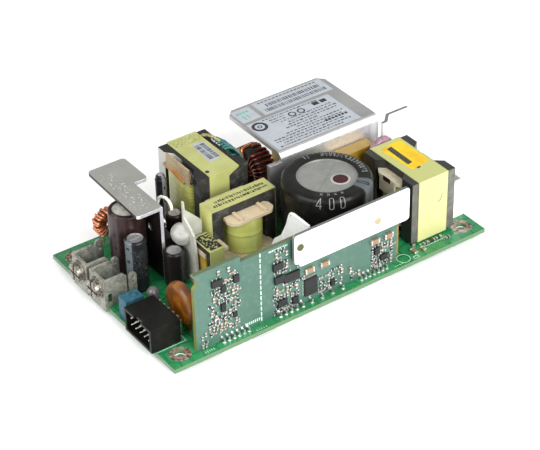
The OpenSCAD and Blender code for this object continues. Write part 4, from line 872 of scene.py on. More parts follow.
# Front edges are painted a pale lilac that fades out towards the bottom: a painted highlight.
painted_edge_highlight = dull.times(facing(dull, "Y", -0.4, -0.6), dull.limits(z, 8.0, 18.0, 0.15, 1.0))
dull.over((0.72, 0.70, 0.76), painted_edge_highlight)
dull.sheen_range(1.0, 0.35, 0.5, stretch=(1, 10, 1))
dull.grain(0.25, 0.006, stretch=(1, 18, 1))
dress(dull, "output_heatsink")
bright = Coat("bright_sheet", (0.86, 0.86, 0.87), rough=0.4, metal=0.5, edge=0.15)
bright.mottle(7, (0.78, 0.78, 0.79))
bright.sheen_range(1.4, 0.3, 0.45, stretch=(1, 1, 10))
bright.grain(0.3, 0.006, stretch=(1, 1, 14))
# Faces that look up are painted dark grey: painted shade on the same bright sheet.
bright.over((0.19, 0.19, 0.18), facing(bright, "Z"))
dress(bright, "mains_heatsink")

# ---- labels ----
# Paper labels stuck to the top of the large flange: a wide one, a narrow one behind it and a
# small square one. They carry plain bars, blocks and rings only.
paper = Coat("label_paper", (0.325, 0.35, 0.375), rough=0.5)
paper.mottle(4, (0.295, 0.32, 0.345))
paper.grain(0.5, 0.008)
label_ink = Coat("label_ink", (0.012, 0.013, 0.018), rough=0.55)
label_ink.mottle(0.5, (0.04, 0.04, 0.05), 0.5, 0.75)
grey_ink = Coat("label_grey_ink", (0.045, 0.047, 0.06), rough=0.55)
grey_ink.mottle(0.5, (0.13, 0.135, 0.16), 0.48, 0.7)
flange_high = span("main_heatsink")[1]
flange_top = flange_high.z
flange_l = 41.5
flange_x = flange_high.x - flange_l
flange_back = flange_high.y
label_t = 0.03
ink_t = 0.01
labels = Form()


def label_corner(u, v):
    """A point on the flange, in mm from its left back corner, along X and towards the front."""
    return (flange_x + u, flange_back - v)


def flange_block(form, u0, v0, u1, v1, base=label_t, thick=ink_t):
    """A flat block on the flange between two corners; ink on a label unless told otherwise."""
    left, back = label_corner(u0, v0)
    right, near = label_corner(u1, v1)
    form.box((left, near, flange_top + base), (right, back, flange_top + base + thick))


for corners in ((0.9, 11.4, 35.8, 31.0), (10.2, 0.8, 39.6, 9.8), (0.9, 1.4, 8.6, 9.8)):
    flange_block(labels, *corners, 0.0, label_t)
labels.piece("flange_labels", paper, "white_sheet", smooth=0)
fine = Form()
bold = Form()
draw = random.Random(11)
row_pitch = 1.45
row_spans = ((7.0, 30.0), (9.0, 15.5), (9.0, 14.0), (12.0, 33.5), (14.0, 34.5), (13.0, 34.0),
             (11.0, 24.0), (14.5, 34.5), (9.0, 32.0), (3.0, 26.0), (3.0, 31.0), (5.0, 33.0),
             (2.5, 29.0))
for row, (u, stop) in enumerate(row_spans):
    v = 12.0 + row * row_pitch
    while u < stop:
        length = draw.uniform(0.35, 1.5)
        flange_block(fine, u, v, min(u + length, 35.0), v + draw.uniform(0.45, 0.7))
        u += length + draw.uniform(0.28, 0.6)
for u, v, stop in ((14.0, 3.7, 37.0), (12.0, 6.5, 38.0)):
    while u < stop:
        width = draw.choice((0.3, 0.45, 0.6))
        flange_block(fine, u, v, u + width, v + 1.9)
        u += width + draw.choice((0.25, 0.35, 0.5))
for i in range(16):
    flange_block(fine, 12.0 + 1.6 * i, 1.7, 13.1 + 1.6 * i, 2.3)
for i in range(7):
    flange_block(bold, 24.6 + 1.4 * i, 24.6, 25.6 + 1.4 * i, 25.8)
for i in range(2):
    flange_block(bold, 27.4 + 3.3 * i, 12.9, 29.9 + 3.3 * i, 14.9)
ring_facets = 28


def ring_mark(u, v, inner, outer):
    """A printed ring on the large label."""
    for i in range(ring_facets):
        a0 = 2 * math.pi * i / ring_facets
        a1 = 2 * math.pi * (i + 1) / ring_facets
        corners = ((outer, a0), (outer, a1), (inner, a1), (inner, a0))
        facet = [label_corner(u + r * math.cos(a), v + r * math.sin(a)) for r, a in corners]
        bold.plate(facet, flange_top + label_t, flange_top + label_t + ink_t)


for ring in ((4.2, 14.9, 1.8, 2.9), (4.2, 14.9, 0.5, 0.9),
             (18.0, 14.8, 0.95, 1.5), (21.8, 14.8, 0.95, 1.5)):
    ring_mark(*ring)
fine.piece("label_rows", grey_ink, "white_sheet", smooth=0)
bold.piece("label_bold_marks", label_ink, "white_sheet", smooth=0)
mint = Coat("mint_ink", (0.07, 0.30, 0.22), rough=0.5)
mint.mottle(0.5, (0.16, 0.38, 0.31), 0.45, 0.7)
small_mark = Form()
for i in range(4):
    flange_block(small_mark, 2.0 + 1.3 * i, 3.2, 2.9 + 1.3 * i, 4.4)
for u in (3.0, 4.6):
    flange_block(small_mark, u, 5.6, u + 0.6, 8.4)
small_mark.piece("small_label_mark", mint, "white_sheet", smooth=0)

# ---- power devices and bridge ----
# Black epoxy packages screwed to the sheets with plated screws. One white sleeved strap
# stands behind the small sheet and bends over towards the front.
white_sleeving = Coat("white_sleeving", (0.70, 0.70, 0.62), rough=0.4)
white_sleeving.mottle(1.5, (0.48, 0.46, 0.36), 0.45, 0.65)
strap = Form()
strap_r = 0.55
strap.wire([(26.6, 50.6, 17.5), (27.4, 50.6, 24.0), (27.9, 50.2, 26.2), (28.0, 48.6, 27.5),
            (28.0, 46.2, 28.3), (28.0, 44.3, 28.2), (28.0, 43.0, 27.2), (28.0, 42.7, 25.6)], strap_r)
strap.piece("device_strap", white_sleeving, "white_sheet", smooth=60)
dress(moulded, "power_devices", "bridge_rectifier")
steel = Coat("plated_steel", (0.60, 0.58, 0.54), rough=0.32, metal=1.0, edge=0.1)
steel.mottle(0.9, (0.42, 0.40, 0.37), 0.42, 0.66)
steel.sheen_range(0.7, 0.22, 0.45)
steel.grain(0.3, 0.012)
dress(steel, "device_screws")

# ---- main transformer ----
# Two ferrite halves round a cream coil former. The winding is covered by polyester tape in
# overlapping turns, and one band of the same tape holds the halves together.
ferrite = Coat("ferrite", (0.022, 0.021, 0.019), rough=0.5, edge=0.25)
ferrite.mottle(2.5, (0.075, 0.072, 0.066), 0.5, 0.72)
ferrite.mottle(0.6, (0.02, 0.02, 0.02), 0.55, 0.7)
ferrite.sheen_range(1.4, 0.35, 0.6)
ferrite.grain(0.4, 0.03)
# Top faces are painted darker than the sides: painted shade on the same ferrite.
ferrite.over((0.009, 0.009, 0.008), facing(ferrite, "Z"))
ferrite.specular(0.35)
cream = Coat("cream_moulding", (0.47, 0.38, 0.25), rough=0.5, edge=0.2)
cream.mottle(5, (0.50, 0.42, 0.29))
cream.mottle(1.2, (0.40, 0.30, 0.18), 0.58, 0.75)
cream.grain(0.4, 0.02)
cream.put("Subsurface Weight", 0.08)
cream.put("Subsurface Radius", (0.002, 0.001, 0.0006))
glare_ferrite = Coat("main_ferrite_painted_glare", (0.022, 0.021, 0.019), rough=0.45, edge=0.25)
glare_ferrite.mottle(2.5, (0.06, 0.058, 0.054), 0.5, 0.72)
# Top faces are painted darker than the sides: painted shade on the same ferrite.
glare_ferrite.over((0.009, 0.009, 0.008), facing(glare_ferrite, "Z"))
glare_ferrite.specular(0.35)
# The rear leg's left faces are painted light grey: a painted reflection on the glossy ferrite.
rear_part = glare_ferrite.limits(glare_ferrite.axes()["Y"], 62.0, 64.0)
painted_glare_face = glare_ferrite.times(facing(glare_ferrite, "X", -0.4, -0.6), rear_part)
glare_ferrite.over((0.44, 0.44, 0.41), painted_glare_face)
glare_ferrite.grain(0.4, 0.03)
dress(glare_ferrite, "main_core")
wall_cream = Coat("wall_cream", (0.30, 0.225, 0.125), rough=0.45, edge=0.2)
wall_cream.mottle(4, (0.23, 0.165, 0.08), 0.42, 0.65)
wall_cream.mottle(0.9, (0.42, 0.34, 0.23), 0.58, 0.72)
wall_cream.grain(0.8, 0.05, stretch=(1, 1, 4))
dress(wall_cream, "main_bobbin")


def lap_tape(node, name, colour, shade, layer=2.4, bulge=0.12):
    """Polyester tape wound round a coil: level laps, slight folds, a soft shine, and a painted shade
    line with a painted highlight band at each lap step.
    """
    coat = Coat(name, colour, rough=0.3)
    x, y, z = coat.axes()
    waver = coat.times(coat.math("SUBTRACT", coat.noise(6), 0.5), 2.2)
    lap = coat.math("FRACT", coat.math("DIVIDE", coat.math("ADD", z, waver), layer))
    coat.mottle(7, shade, 0.4, 0.7)
    # Each lap step gets a dark line and a lighter band just past it: painted shade and painted
    # highlight of the step.
    lap_step_shade = coat.times(coat.within(lap, 0.0, 0.09, 0.04), 0.7)
    coat.over(tuple(c * 0.55 for c in shade), lap_step_shade)
    lap_step_highlight = coat.times(coat.within(lap, 0.12, 0.3, 0.08), 0.5)
    coat.over(tuple(min(1, c * 1.25) for c in colour), lap_step_highlight)
    coat.relief(coat.math("PINGPONG", lap, 1.0), bulge)
    coat.grain(1.6, 0.06, stretch=(1, 1, 0.4))
    coat.lacquer(0.4, 0.15)
    dress(coat, node)


lap_tape("main_winding", "main_lap_tape", (0.56, 0.55, 0.13), (0.36, 0.35, 0.07), bulge=0.3)


def band_coat(name, colour, shade):
    """One band of tape over a core: pale, with faint ripples and air under it."""
    coat = Coat(name, colour, rough=0.32, edge=0.25)
    coat.mottle(6, shade, 0.42, 0.66)
    coat.mottle(1.0, tuple(c * 0.92 for c in colour), 0.55, 0.7)
    coat.sheen_range(3, 0.24, 0.42)
    coat.grain(3.5, 0.06)
    coat.lacquer(0.3, 0.2)
    return coat


tape = band_coat("core_tape", (0.345, 0.355, 0.125), (0.295, 0.305, 0.10))
# Faces that look to the left are painted much lighter: painted light on the same tape.
tape.over((0.60, 0.61, 0.21), facing(tape, "X", -0.4, -0.6))
dress(tape, "main_tape", "standby_tape", "pulse_tape")
tape_low, tape_high = span("main_tape")
sticker = Form()
label_left = (tape_low.x + tape_high.x) / 2 - 0.4
label_front = tape_low.y + 7.1
sticker.plate([(label_left - 0.6, label_front), (label_left + 4.6, label_front + 1.0),
               (label_left + 5.0, label_front + 12.6), (label_left + 0.4, label_front + 12.8)],
              tape_high.z, tape_high.z + label_t)
sticker.piece("main_label", paper, "white_sheet", smooth=0)
code = Form()
draw = random.Random(5)
for left, right in ((0.4, 2.2), (2.7, 4.4)):
    y = label_front + 1.6
    while y < label_front + 11.6:
        width = draw.choice((0.2, 0.35, 0.5))
        code.box((label_left + left, y, tape_high.z + label_t),
                 (label_left + right, y + width, tape_high.z + label_t + ink_t))
        y += width + draw.choice((0.2, 0.25, 0.4))
dot_r = 0.75
dot_at = (tape_low.x + 0.95, tape_low.y + 2.9, tape_high.z)
code.turned([(0, 0), (dot_r, 0), (dot_r, 0.04), (0, 0.04)], dot_at, steps=20)
stamp_t = 0.02
stamp_fill = 0.4
for i in range(18):
    for j in range(9):
        if draw.random() < stamp_fill:
            x = tape_low.x + 0.7 + 0.58 * i + 0.3 * (j % 2)
            y = tape_high.y - 5.6 + 0.52 * j
            code.box((x, y, tape_high.z), (x + 0.28, y + 0.24, tape_high.z + stamp_t))
code.piece("main_label_bars", label_ink, "white_sheet", smooth=0)
amber_tape = Coat("amber_tape", (0.42, 0.17, 0.02), rough=0.25)
amber_tape.mottle(1.2, (0.30, 0.11, 0.015), 0.45, 0.7)
amber_tape.grain(0.8, 0.03)
wall_x = span("main_bobbin")[0].x
patch = Form()
for (ya, za), (yb, zb), w in (((67.0, 24.0), (56.8, 22.7), 1.5), ((61.6, 25.4), (58.6, 22.2), 1.0),
                              ((64.6, 24.9), (57.4, 24.2), 0.8)):
    patch.wire([(wall_x - 0.02, ya + (yb - ya) * t / 6, za + (zb - za) * t / 6)
                for t in range(7)], w / 2)
flatness = 0.12
for v in patch.bm.verts:
    v.co.x = wall_x + (v.co.x - wall_x) * flatness
patch.piece("amber_tape_strips", amber_tape, "core_tape")
loop = Form()
loop_points = ((1.0, 54.7, 28.0), (0.4, 53.0, 29.2), (0.3, 51.4, 28.0),
               (0.3, 51.3, 25.8), (0.3, 52.6, 24.4), (0.4, 54.6, 24.6))
loop.wire([(wall_x + x, y, z) for x, y, z in loop_points], 0.34)
loop.piece("end_loop", moulded, "black_sleeve", smooth=60)

# ---- sleeved leads of the main transformer ----
# Teal sleeving over stranded leads that cross the coil former's right flange and drop to the
# board, with bare copper ends and a knot of pale yellow sleeving.
teal = Coat("teal_sleeving", (0.012, 0.075, 0.105), rough=0.45)
teal.mottle(1.3, (0.025, 0.14, 0.085), 0.44, 0.6)
teal.mottle(0.7, (0.012, 0.018, 0.02), 0.56, 0.66)
teal.grain(0.35, 0.04)
sleeves_low, sleeves_high = span("main_lead_sleeves")
leads = Form()
draw = random.Random(3)
for i in range(7):
    y = sleeves_low.y + 0.4 + i * (sleeves_high.y - sleeves_low.y - 0.8) / 6
    x = sleeves_high.x - 0.62 - 0.5 * (i % 2)
    top = sleeves_high.z - 0.45 - 0.35 * (i % 3)
    inner = sleeves_low.x + 0.3
    points = [(inner, y + 0.5, top - 0.3), (inner + 0.8, y + 0.3, top), (x - 0.7, y, top),
              (x - 0.15, y - 0.1, top - 0.5), (x, y - 0.2, top - 1.6), (x, y - 0.3 * (i % 2), 12),
              (x, y, 2), (x, y, 0.1)]
    finer = [Vector(a).lerp(Vector(b), k / 3) for a, b in zip(points, points[1:]) for k in range(3)]
    leads.wire(finer + [points[-1]], 0.42, sides=10)
for i in range(6):
    y = 57.0 + 1.5 * i
    leads.wire([(60.4, y + 2.4, 27.9), (61.6, y + 1.6, 28.5),
                (63.0, y + 0.4, 28.0 - 0.4 * (i % 2)), (64.2, y - 0.8, 26.4),
                (64.7, y - 1.4, 24.4), (64.6, y - 1.6, 21.0)], 0.5, sides=10)
sleeve_piece = leads.piece("lead_sleeves", teal, "teal_sleeving", smooth=60)
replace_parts(sleeve_piece, "main_lead_sleeves")
pale_sleeving = Coat("pale_sleeving", (0.30, 0.27, 0.13), rough=0.5)
pale_sleeving.mottle(1.0, (0.12, 0.10, 0.05), 0.45, 0.6)
pale_sleeving.grain(0.4, 0.03)
knot = Form()
knot.wire([(58.8, 72.6, 26.6), (59.2, 70.6, 28.4), (60.2, 68.4, 28.9),
           (61.0, 66.2, 28.7), (61.6, 64.0, 28.2), (62.6, 62.6, 27.2)], 0.62, sides=10)
knot.wire([(60.0, 71.8, 26.0), (60.9, 69.6, 27.8), (61.4, 67.0, 28.2),
           (62.8, 64.6, 26.6)], 0.5, sides=10)
knot.piece("pale_sleeving", pale_sleeving, "cream_moulding", smooth=60)

# ---- standby transformer ----
# A small E core lying across the board, its coil former open to the front, the coil taped in
# pale yellow, with one band of tape round the core.
dress(ferrite, "standby_core")
dress(cream, "standby_bobbin")
lap_tape("standby_winding", "standby_lap_tape", (0.47, 0.48, 0.13), (0.40, 0.41, 0.10),
         layer=6.4, bulge=0.08)
standby_low, standby_high = span("standby_tape")
stamp = Form()
draw = random.Random(17)
for row, (start, stop) in enumerate(((0.10, 0.62), (0.16, 0.90), (0.55, 0.94))):
    u = standby_low.x + (standby_high.x - standby_low.x) * start
    end = standby_low.x + (standby_high.x - standby_low.x) * stop
    y = (standby_low.y + standby_high.y) / 2 - 1.9 + (0.0, 2.1, 0.1)[row]
    while u < end:
        length = draw.choice((0.25, 0.45, 0.7))
        near = y + draw.uniform(0, 0.4)
        back = y + draw.uniform(1.1, 1.6)
        stamp.box((u, near, standby_high.z), (u + length, back, standby_high.z + stamp_t))
        u += length + draw.choice((0.2, 0.3, 0.45))
stamp_ink = Coat("stamp_ink", (0.022, 0.023, 0.012), rough=0.5)
stamp_ink.mottle(0.5, (0.09, 0.095, 0.035), 0.5, 0.7)
stamp.piece("standby_stamp", stamp_ink, "core_tape", smooth=0)

# ---- pulse transformer ----
# The smallest wound part: thin legged core, amber winding showing on its left, tape band with
# a blotted stamp of plain blocks.
dress(ferrite, "pulse_core")
dress(cream, "pulse_bobbin")
lap_tape("pulse_winding", "amber_coil", (0.45, 0.30, 0.05), (0.30, 0.19, 0.03), layer=1.3, bulge=0.06)
pulse_low, pulse_high = span("pulse_tape")
blots = Form()
draw = random.Random(23)
columns, blot_rows = 9, 15
for i in range(columns):
    for j in range(blot_rows):
        if draw.random() < 0.6:
            x = pulse_low.x + 0.35 + i * (pulse_high.x - pulse_low.x - 0.7) / columns
            y = pulse_low.y + 0.9 + j * (pulse_high.y - pulse_low.y - 1.8) / blot_rows
            blots.box((x, y, pulse_high.z), (x + 0.72, y + 0.66, pulse_high.z + stamp_t))
blots.piece("pulse_stamp", label_ink, "core_tape", smooth=0)

# ---- boost choke ----
# The tall choke at the right: grey ferrite with rounded ends, pale tape over its whole depth
# and a plain yellow sticker with one dark bar.
grey_ferrite = Coat("grey_ferrite", (0.075, 0.075, 0.062), rough=0.42, edge=0.35)
grey_ferrite.mottle(2.5, (0.12, 0.12, 0.10), 0.45, 0.7)
grey_ferrite.mottle(0.7, (0.05, 0.05, 0.05), 0.6, 0.75)
# Top faces and left faces are painted near black: painted shade on the same grey ferrite.
grey_ferrite.over((0.018, 0.018, 0.016), facing(grey_ferrite, "Z"))
grey_ferrite.over((0.018, 0.018, 0.015), facing(grey_ferrite, "X", -0.4, -0.6))
grey_ferrite.grain(0.4, 0.03)
dress(grey_ferrite, "boost_core")
pale_cream = Coat("pale_cream", (0.50, 0.46, 0.34), rough=0.5, edge=0.2)
pale_cream.mottle(3, (0.42, 0.37, 0.25), 0.42, 0.66)
pale_cream.grain(0.4, 0.02)
dress(pale_cream, "boost_bobbin")
lap_tape("boost_winding", "boost_lap_tape", (0.42, 0.46, 0.12), (0.30, 0.33, 0.08))
boost_tape = band_coat("boost_tape", (0.45, 0.45, 0.195), (0.42, 0.425, 0.175))
# Top faces are painted darker than the sides: painted shade on the same tape.
boost_tape.over((0.36, 0.375, 0.13), facing(boost_tape, "Z"))
dress(boost_tape, "boost_tape")
boost_low, boost_high = span("boost_tape")
gold = Coat("gold_sticker", (0.60, 0.42, 0.004), rough=0.4)
gold.mottle(5, (0.52, 0.30, 0.004))
gold.grain(1.2, 0.02)
gold_sheet = Form()
gold_sheet.plate([(boost_low.x + 2.0, boost_high.y - 2.8), (boost_low.x + 3.3, boost_low.y + 7.7),
                  (boost_high.x - 0.8, boost_low.y + 8.9), (boost_high.x - 1.0, boost_high.y - 1.6)],
                 boost_high.z, boost_high.z + label_t)
gold_sheet.piece("gold_sticker", gold, "core_tape", smooth=0)
stripes = Form()
stripes.plate([(boost_low.x + 4.2, boost_high.y - 3.8), (boost_low.x + 4.0, boost_low.y + 11.0),
               (boost_low.x + 6.2, boost_low.y + 11.4), (boost_low.x + 6.4, boost_high.y - 3.4)],
              boost_high.z + label_t, boost_high.z + label_t + ink_t)
stripes.box((boost_low.x + 5.2, boost_low.y + 7.2, boost_high.z),
            (boost_low.x + 6.6, boost_low.y + 8.2, boost_high.z + stamp_t))
# A dark line on the front of the tape: the painted shadow of a crease.
crease_shadow = ((110.9, 14.0), (111.9, 14.4), (112.7, 15.6), (112.9, 16.8))
stripes.wire([(x, boost_low.y - 0.02, z) for x, z in crease_shadow], 0.09)
stripes.piece("sticker_bars", stamp_ink, "core_tape", smooth=0)
window_x = span("boost_bobbin")[0].x
mark = Form()
mark.box((window_x - 0.04, 18.2, 19.6), (window_x, 22.0, 21.4))
mark.piece("former_mark", lacquer, "cream_moulding", smooth=0)
dress(tin, "transformer_pins")

# ---- ring chokes ----
# Enamelled copper wound through rings: two windings on the upright ferrite ring of the line
# choke, two crossing layers on the output choke's iron powder ring. Each turn is one lap.
dress(ferrite, "line_core")
powder = Coat("powder_core", (0.10, 0.05, 0.03), rough=0.5)
powder.mottle(0.8, (0.05, 0.03, 0.02))
powder.grain(0.3, 0.02)
dress(powder, "ring_core")


def enamel(name, colour, shade):
    """Enamelled copper: a hard, wet shine over metal."""
    coat = Coat(name, colour, rough=0.24, metal=0.6)
    coat.mottle(2.2, shade, 0.42, 0.68)
    coat.sheen_range(1.5, 0.16, 0.34)
    coat.lacquer(0.6, 0.08)
    return coat


dark_enamel = enamel("dark_enamel", (0.24, 0.030, 0.012), (0.10, 0.014, 0.008))
orange_enamel = enamel("orange_enamel", (0.62, 0.20, 0.05), (0.32, 0.09, 0.03))
red_enamel = enamel("red_enamel", (0.80, 0.30, 0.13), (0.34, 0.08, 0.04))


steps_a_turn = 40
squareness = 0.45


def winding(form, centre, plane, inner, outer, half_width, turns, start, stop, wire, wobble):
    """Wire laid round the section of a ring, turn by turn, from one angle to another."""
    draw = random.Random(turns * 31 + int(abs(start)))
    middle = (inner + outer) / 2
    half_r = (outer - inner) / 2 + wire * 1.05
    half_w = half_width + wire * 1.05
    points = []
    count = turns * steps_a_turn
    shift = [draw.uniform(-wobble, wobble) for _ in range(turns + 2)]
    for i in range(count + 1):
        t = i / count
        turn = t * turns
        drift = shift[int(turn)] * (1 - turn % 1) + shift[int(turn) + 1] * (turn % 1)
        around = math.radians(start + (stop - start) * t + drift)
        phase = 2 * math.pi * turn
        c, s = math.cos(phase), math.sin(phase)
        radial = half_r * math.copysign(abs(c) ** squareness, c)
        across = half_w * math.copysign(abs(s) ** squareness, s)
        r = middle + radial
        if plane == "YZ":
            points.append(centre + Vector((across, r * math.cos(around), r * math.sin(around))))
        else:
            points.append(centre + Vector((r * math.cos(around), across, r * math.sin(around))))
    form.wire(points, wire)


line_low, line_high = span("line_core")
line_outer = (line_high.y - line_low.y) / 2
line_mid = middle_of("line_core")
line_mid.z = line_high.z - line_outer
line_inner = line_outer * 0.58
line_half = (line_high.x - line_low.x) / 2
line_turns = 13
line_wire = 0.48
for name, node, start, stop, coat in (
        ("line_winding_dark", "line_winding_front", 100, 236, dark_enamel),
        ("line_winding_bright", "line_winding_rear", 80, -56, orange_enamel)):
    form = Form()
    winding(form, line_mid, "YZ", line_inner, line_outer, line_half, line_turns,
            start, stop, line_wire, wobble=1.5)
    side = -1 if name == "line_winding_dark" else 1
    for end in (-1, 1):
        x = line_mid.x + 4 * end
        y = line_mid.y + 4 * side
        form.wire([(x, y, 6.5), (x, y, 3), (x, y, 0.1)], line_wire)
    made = form.piece(name, coat, "dark_copper" if side < 0 else "copper", smooth=60)
    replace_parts(made, node)

ring_low, ring_high = span("ring_core")
ring_mid = middle_of("ring_core")
ring_outer = (ring_high.x - ring_low.x) / 2
form = Form()
ring_half = (ring_high.y - ring_low.y) / 2
winding(form, ring_mid, "XZ", ring_outer * 0.5, ring_outer, ring_half, 19, -60, 250, 0.4, wobble=9.0)
for end in (-1, 1):
    x = ring_mid.x + 2 * end
    form.wire([(x, ring_mid.y, ring_low.z + 0.4), (x, ring_mid.y, 1.5), (x, ring_mid.y, 0.1)], 0.36)
winding(form, ring_mid, "XZ", ring_outer * 0.42, ring_outer + 0.35, ring_half + 0.6,
        12, -30, 235, 0.34, wobble=16.0)
ring_piece = form.piece("output_choke_winding", red_enamel, "copper", smooth=60)
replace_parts(ring_piece, "ring_winding")

# ---- film capacitors ----
# Flat wound film dipped in amber epoxy: a softly crowned brick with a skirt at its leads.
amber = Coat("amber_epoxy", (0.22, 0.13, 0.010), rough=0.4)
amber.mottle(5, (0.27, 0.17, 0.025))
amber.mottle(0.8, (0.26, 0.11, 0.008), 0.6, 0.75)
amber.specular(0.35)
amber.grain(1.8, 0.05)
amber.lacquer(0.15, 0.12)
dipped = Form()
for low, high in solids("film_capacitors"):
    dipped.box((low.x, low.y, max(low.z, 0.5)), (high.x, high.y, high.z))
    for end in (0.16, 0.84):
        x = low.x + (high.x - low.x) * end
        y = (low.y + high.y) / 2
        dipped.wire([(x, y, 0.7), (x, y, 0.3), (x, y, 0.0)], 0.4)
dipped_piece = dipped.piece("dipped_film_capacitors", amber, "amber", bevel=1.1, steps=5)
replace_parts(dipped_piece, "film_capacitors")

# ---- disc varistors ----
# Ceramic discs dipped in coloured epoxy, orange beside the signal header and lilac behind the
# boost choke, each with two stiff leads.


def dipped_disc(node, axis, name, coat, slot, lead_gap, lead_r, knee):
    """A crowned disc that looks along an axis, on two leads that start from under its skirt."""
    low, high = span(node)
    thick = "XYZ".index(axis)
    wide = 1 - thick
    r = (high[wide] - low[wide]) / 2
    t = high[thick] - low[thick]
    mid = middle_of(node)
    mid.z = high.z - r
    profile = [(0, -t / 2)]
    for i in range(9):
        a = -math.pi / 2 + math.pi * i / 8
        profile.append((r - t * 0.42 + t * 0.42 * math.cos(a), t / 2 * math.sin(a)))
    profile.append((0, t / 2))
    form = Form()
    form.turned(profile, mid, axis, steps=56)
    for s in (-1, 1):
        lead = mid.copy()
        lead[wide] += lead_gap / 2 * s
        form.wire([(lead.x, lead.y, z) for z in (mid.z - r * 0.7, knee, 0.0)], lead_r, sides=10)
    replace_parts(form.piece(name, coat, slot, smooth=60), node)


orange = Coat("orange_epoxy", (0.26, 0.088, 0.003), rough=0.38)
orange.mottle(4, (0.13, 0.038, 0.002), 0.4, 0.62)
orange.mottle(0.7, (0.10, 0.03, 0.003), 0.62, 0.78)
orange.grain(0.9, 0.04)
orange.lacquer(0.2, 0.18)
dipped_disc("disc_varistor", "X", "orange_disc", orange, "orange", 7.5, 0.75, 1.2)
lilac = Coat("lilac_epoxy", (0.13, 0.065, 0.08), rough=0.4)
lilac.mottle(2, (0.25, 0.14, 0.19), 0.4, 0.62)
lilac.grain(0.8, 0.03)
lilac.lacquer(0.15)
dipped_disc("lilac_varistor", "Y", "lilac_disc", lilac, "lilac", 5.0, 0.4, 6)

# ---- line capacitor and fuse ----
# A yellow moulded box capacitor and a black round fuse stand under the large flange, soldered
# into the board by their leads.
yellow = Coat("yellow_box", (0.70, 0.50, 0.06), rough=0.42, edge=0.4)
yellow.mottle(4, (0.62, 0.43, 0.05))
yellow.grain(0.4, 0.02)
dress(yellow, "line_capacitor")
dress(moulded, "input_fuse")

# ---- insulators ----
# Milky polyester sheet, folded and slotted into the board, a bead of silicone that holds its
# edge, and a white fin behind the control board.
milky = Coat("milky_sheet", (0.47, 0.47, 0.41), rough=0.4, edge=0.1)
milky.mottle(6, (0.38, 0.38, 0.33), 0.4, 0.66)
milky.grain(1.5, 0.02)
milky.put("Transmission Weight", 0.12)
dress(milky, "insulator_sheet")
fin = Coat("gusset_sheet", (0.78, 0.79, 0.76), rough=0.4, edge=0.1)
fin.mottle(5, (0.66, 0.67, 0.64), 0.4, 0.66)
fin.grain(1.5, 0.02)
dress(fin, "board_gusset")
silicone = Coat("silicone_bead", (0.36, 0.36, 0.33), rough=0.4)
silicone.mottle(2, (0.27, 0.27, 0.245), 0.4, 0.66)
silicone.grain(1.2, 0.06)
silicone.put("Subsurface Weight", 0.2)
silicone.put("Subsurface Radius", (0.002, 0.002, 0.002))
bead_low, bead_high = span("silicone_bead")
bead_mid = middle_of("silicone_bead")
bead_r = (bead_high.y - bead_low.y) / 2
bead_t = bead_high.x - bead_low.x
form = Form()
profile = [(0, bead_t / 2)]
for i in range(11):
    a = math.pi / 2 * i / 10
    profile.append((bead_r * math.cos(a), bead_t / 2 - bead_t * math.sin(a)))
form.turned(profile, bead_mid, "X", steps=40)
for v in form.bm.verts:
    a = math.atan2(v.co.z - bead_mid.z, v.co.y - bead_mid.y)
    lump = 0.93 + 0.06 * math.sin(2 * a + 0.6) + 0.04 * math.sin(5 * a)
    v.co.y = bead_mid.y + (v.co.y - bead_mid.y) * lump
    v.co.z = bead_mid.z + (v.co.z - bead_mid.z) * lump
bead_piece = form.piece("silicone_dome", silicone, "silicone", smooth=80)
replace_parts(bead_piece, "silicone_bead")

# ---- screw terminals ----
# Tinned sheet boxes with legs soldered into the board, plated screws with toothed washers, and
# three upright tabs of the same sheet.
terminal = Coat("terminal_tin", (0.29, 0.29, 0.25), rough=0.45, metal=0.45, edge=0.2)
terminal.mottle(2.2, (0.17, 0.17, 0.14), 0.4, 0.6)
terminal.mottle(0.5, (0.42, 0.42, 0.37), 0.55, 0.7)
terminal.sheen_range(1.0, 0.35, 0.55)
terminal.grain(0.35, 0.03)
dress(terminal, "screw_terminals", "sense_tabs")
screw = Coat("terminal_screw_steel", (0.34, 0.32, 0.27), rough=0.42, metal=0.9, edge=0.1)
screw.mottle(0.8, (0.12, 0.11, 0.09), 0.42, 0.6)
screw.mottle(0.35, (0.70, 0.68, 0.62), 0.62, 0.72)
screw.grain(0.3, 0.02)
dress(screw, "terminal_screws")
teeth = 9
washer = Form()
for low, high in solids("terminal_screws"):
    y = (low.y + high.y) / 2
    z = (low.z + high.z) / 2
    r = (high.y - low.y) / 2
    for k in range(teeth):
        a = 2 * math.pi * k / teeth
        at = (low.x + 1.9, y + (r - 0.35) * math.cos(a), z + (r - 0.35) * math.sin(a))
        washer.turned([(0.0, -0.25), (0.34, -0.18), (0.34, 0.1), (0.0, 0.18)], at, "X", steps=8)
washer.piece("washer_teeth", screw, "screw_steel")

# ---- trimmer and lamp ----
# A blue moulded trimming resistor with a round rotor, and a smoky domed indicator lamp on two
# stiff leads.
blue = Coat("blue_moulding", (0.018, 0.075, 0.115), rough=0.5, edge=0.3)
blue.mottle(1.6, (0.035, 0.11, 0.15), 0.42, 0.66)
blue.specular(0.3)
blue.grain(0.4, 0.02)
dress(blue, "trimmer")
trim_low, trim_high = span("trimmer")
rotor = Form()
rotor_at = (trim_low.x + 4.4, trim_low.y + 2.3, trim_high.z)
rotor.turned([(0, -0.5), (1.2, -0.5), (1.2, -0.08), (1.05, 0.0), (0, 0.0)], rotor_at, steps=28)
rotor.piece("trimmer_rotor", blue, "blue_moulding")
lens = Coat("lamp_lens", (0.15, 0.15, 0.14), rough=0.35)
lens.mottle(1.6, (0.07, 0.07, 0.066), 0.4, 0.62)
lens.grain(0.8, 0.03)
lens.put("Transmission Weight", 0.15)
lens.lacquer(0.2)
lamp_low, lamp_high = span("indicator_lamp")
lamp_x, lamp_y, _ = middle_of("indicator_lamp")
lamp_r = (lamp_high.x - lamp_low.x) / 2
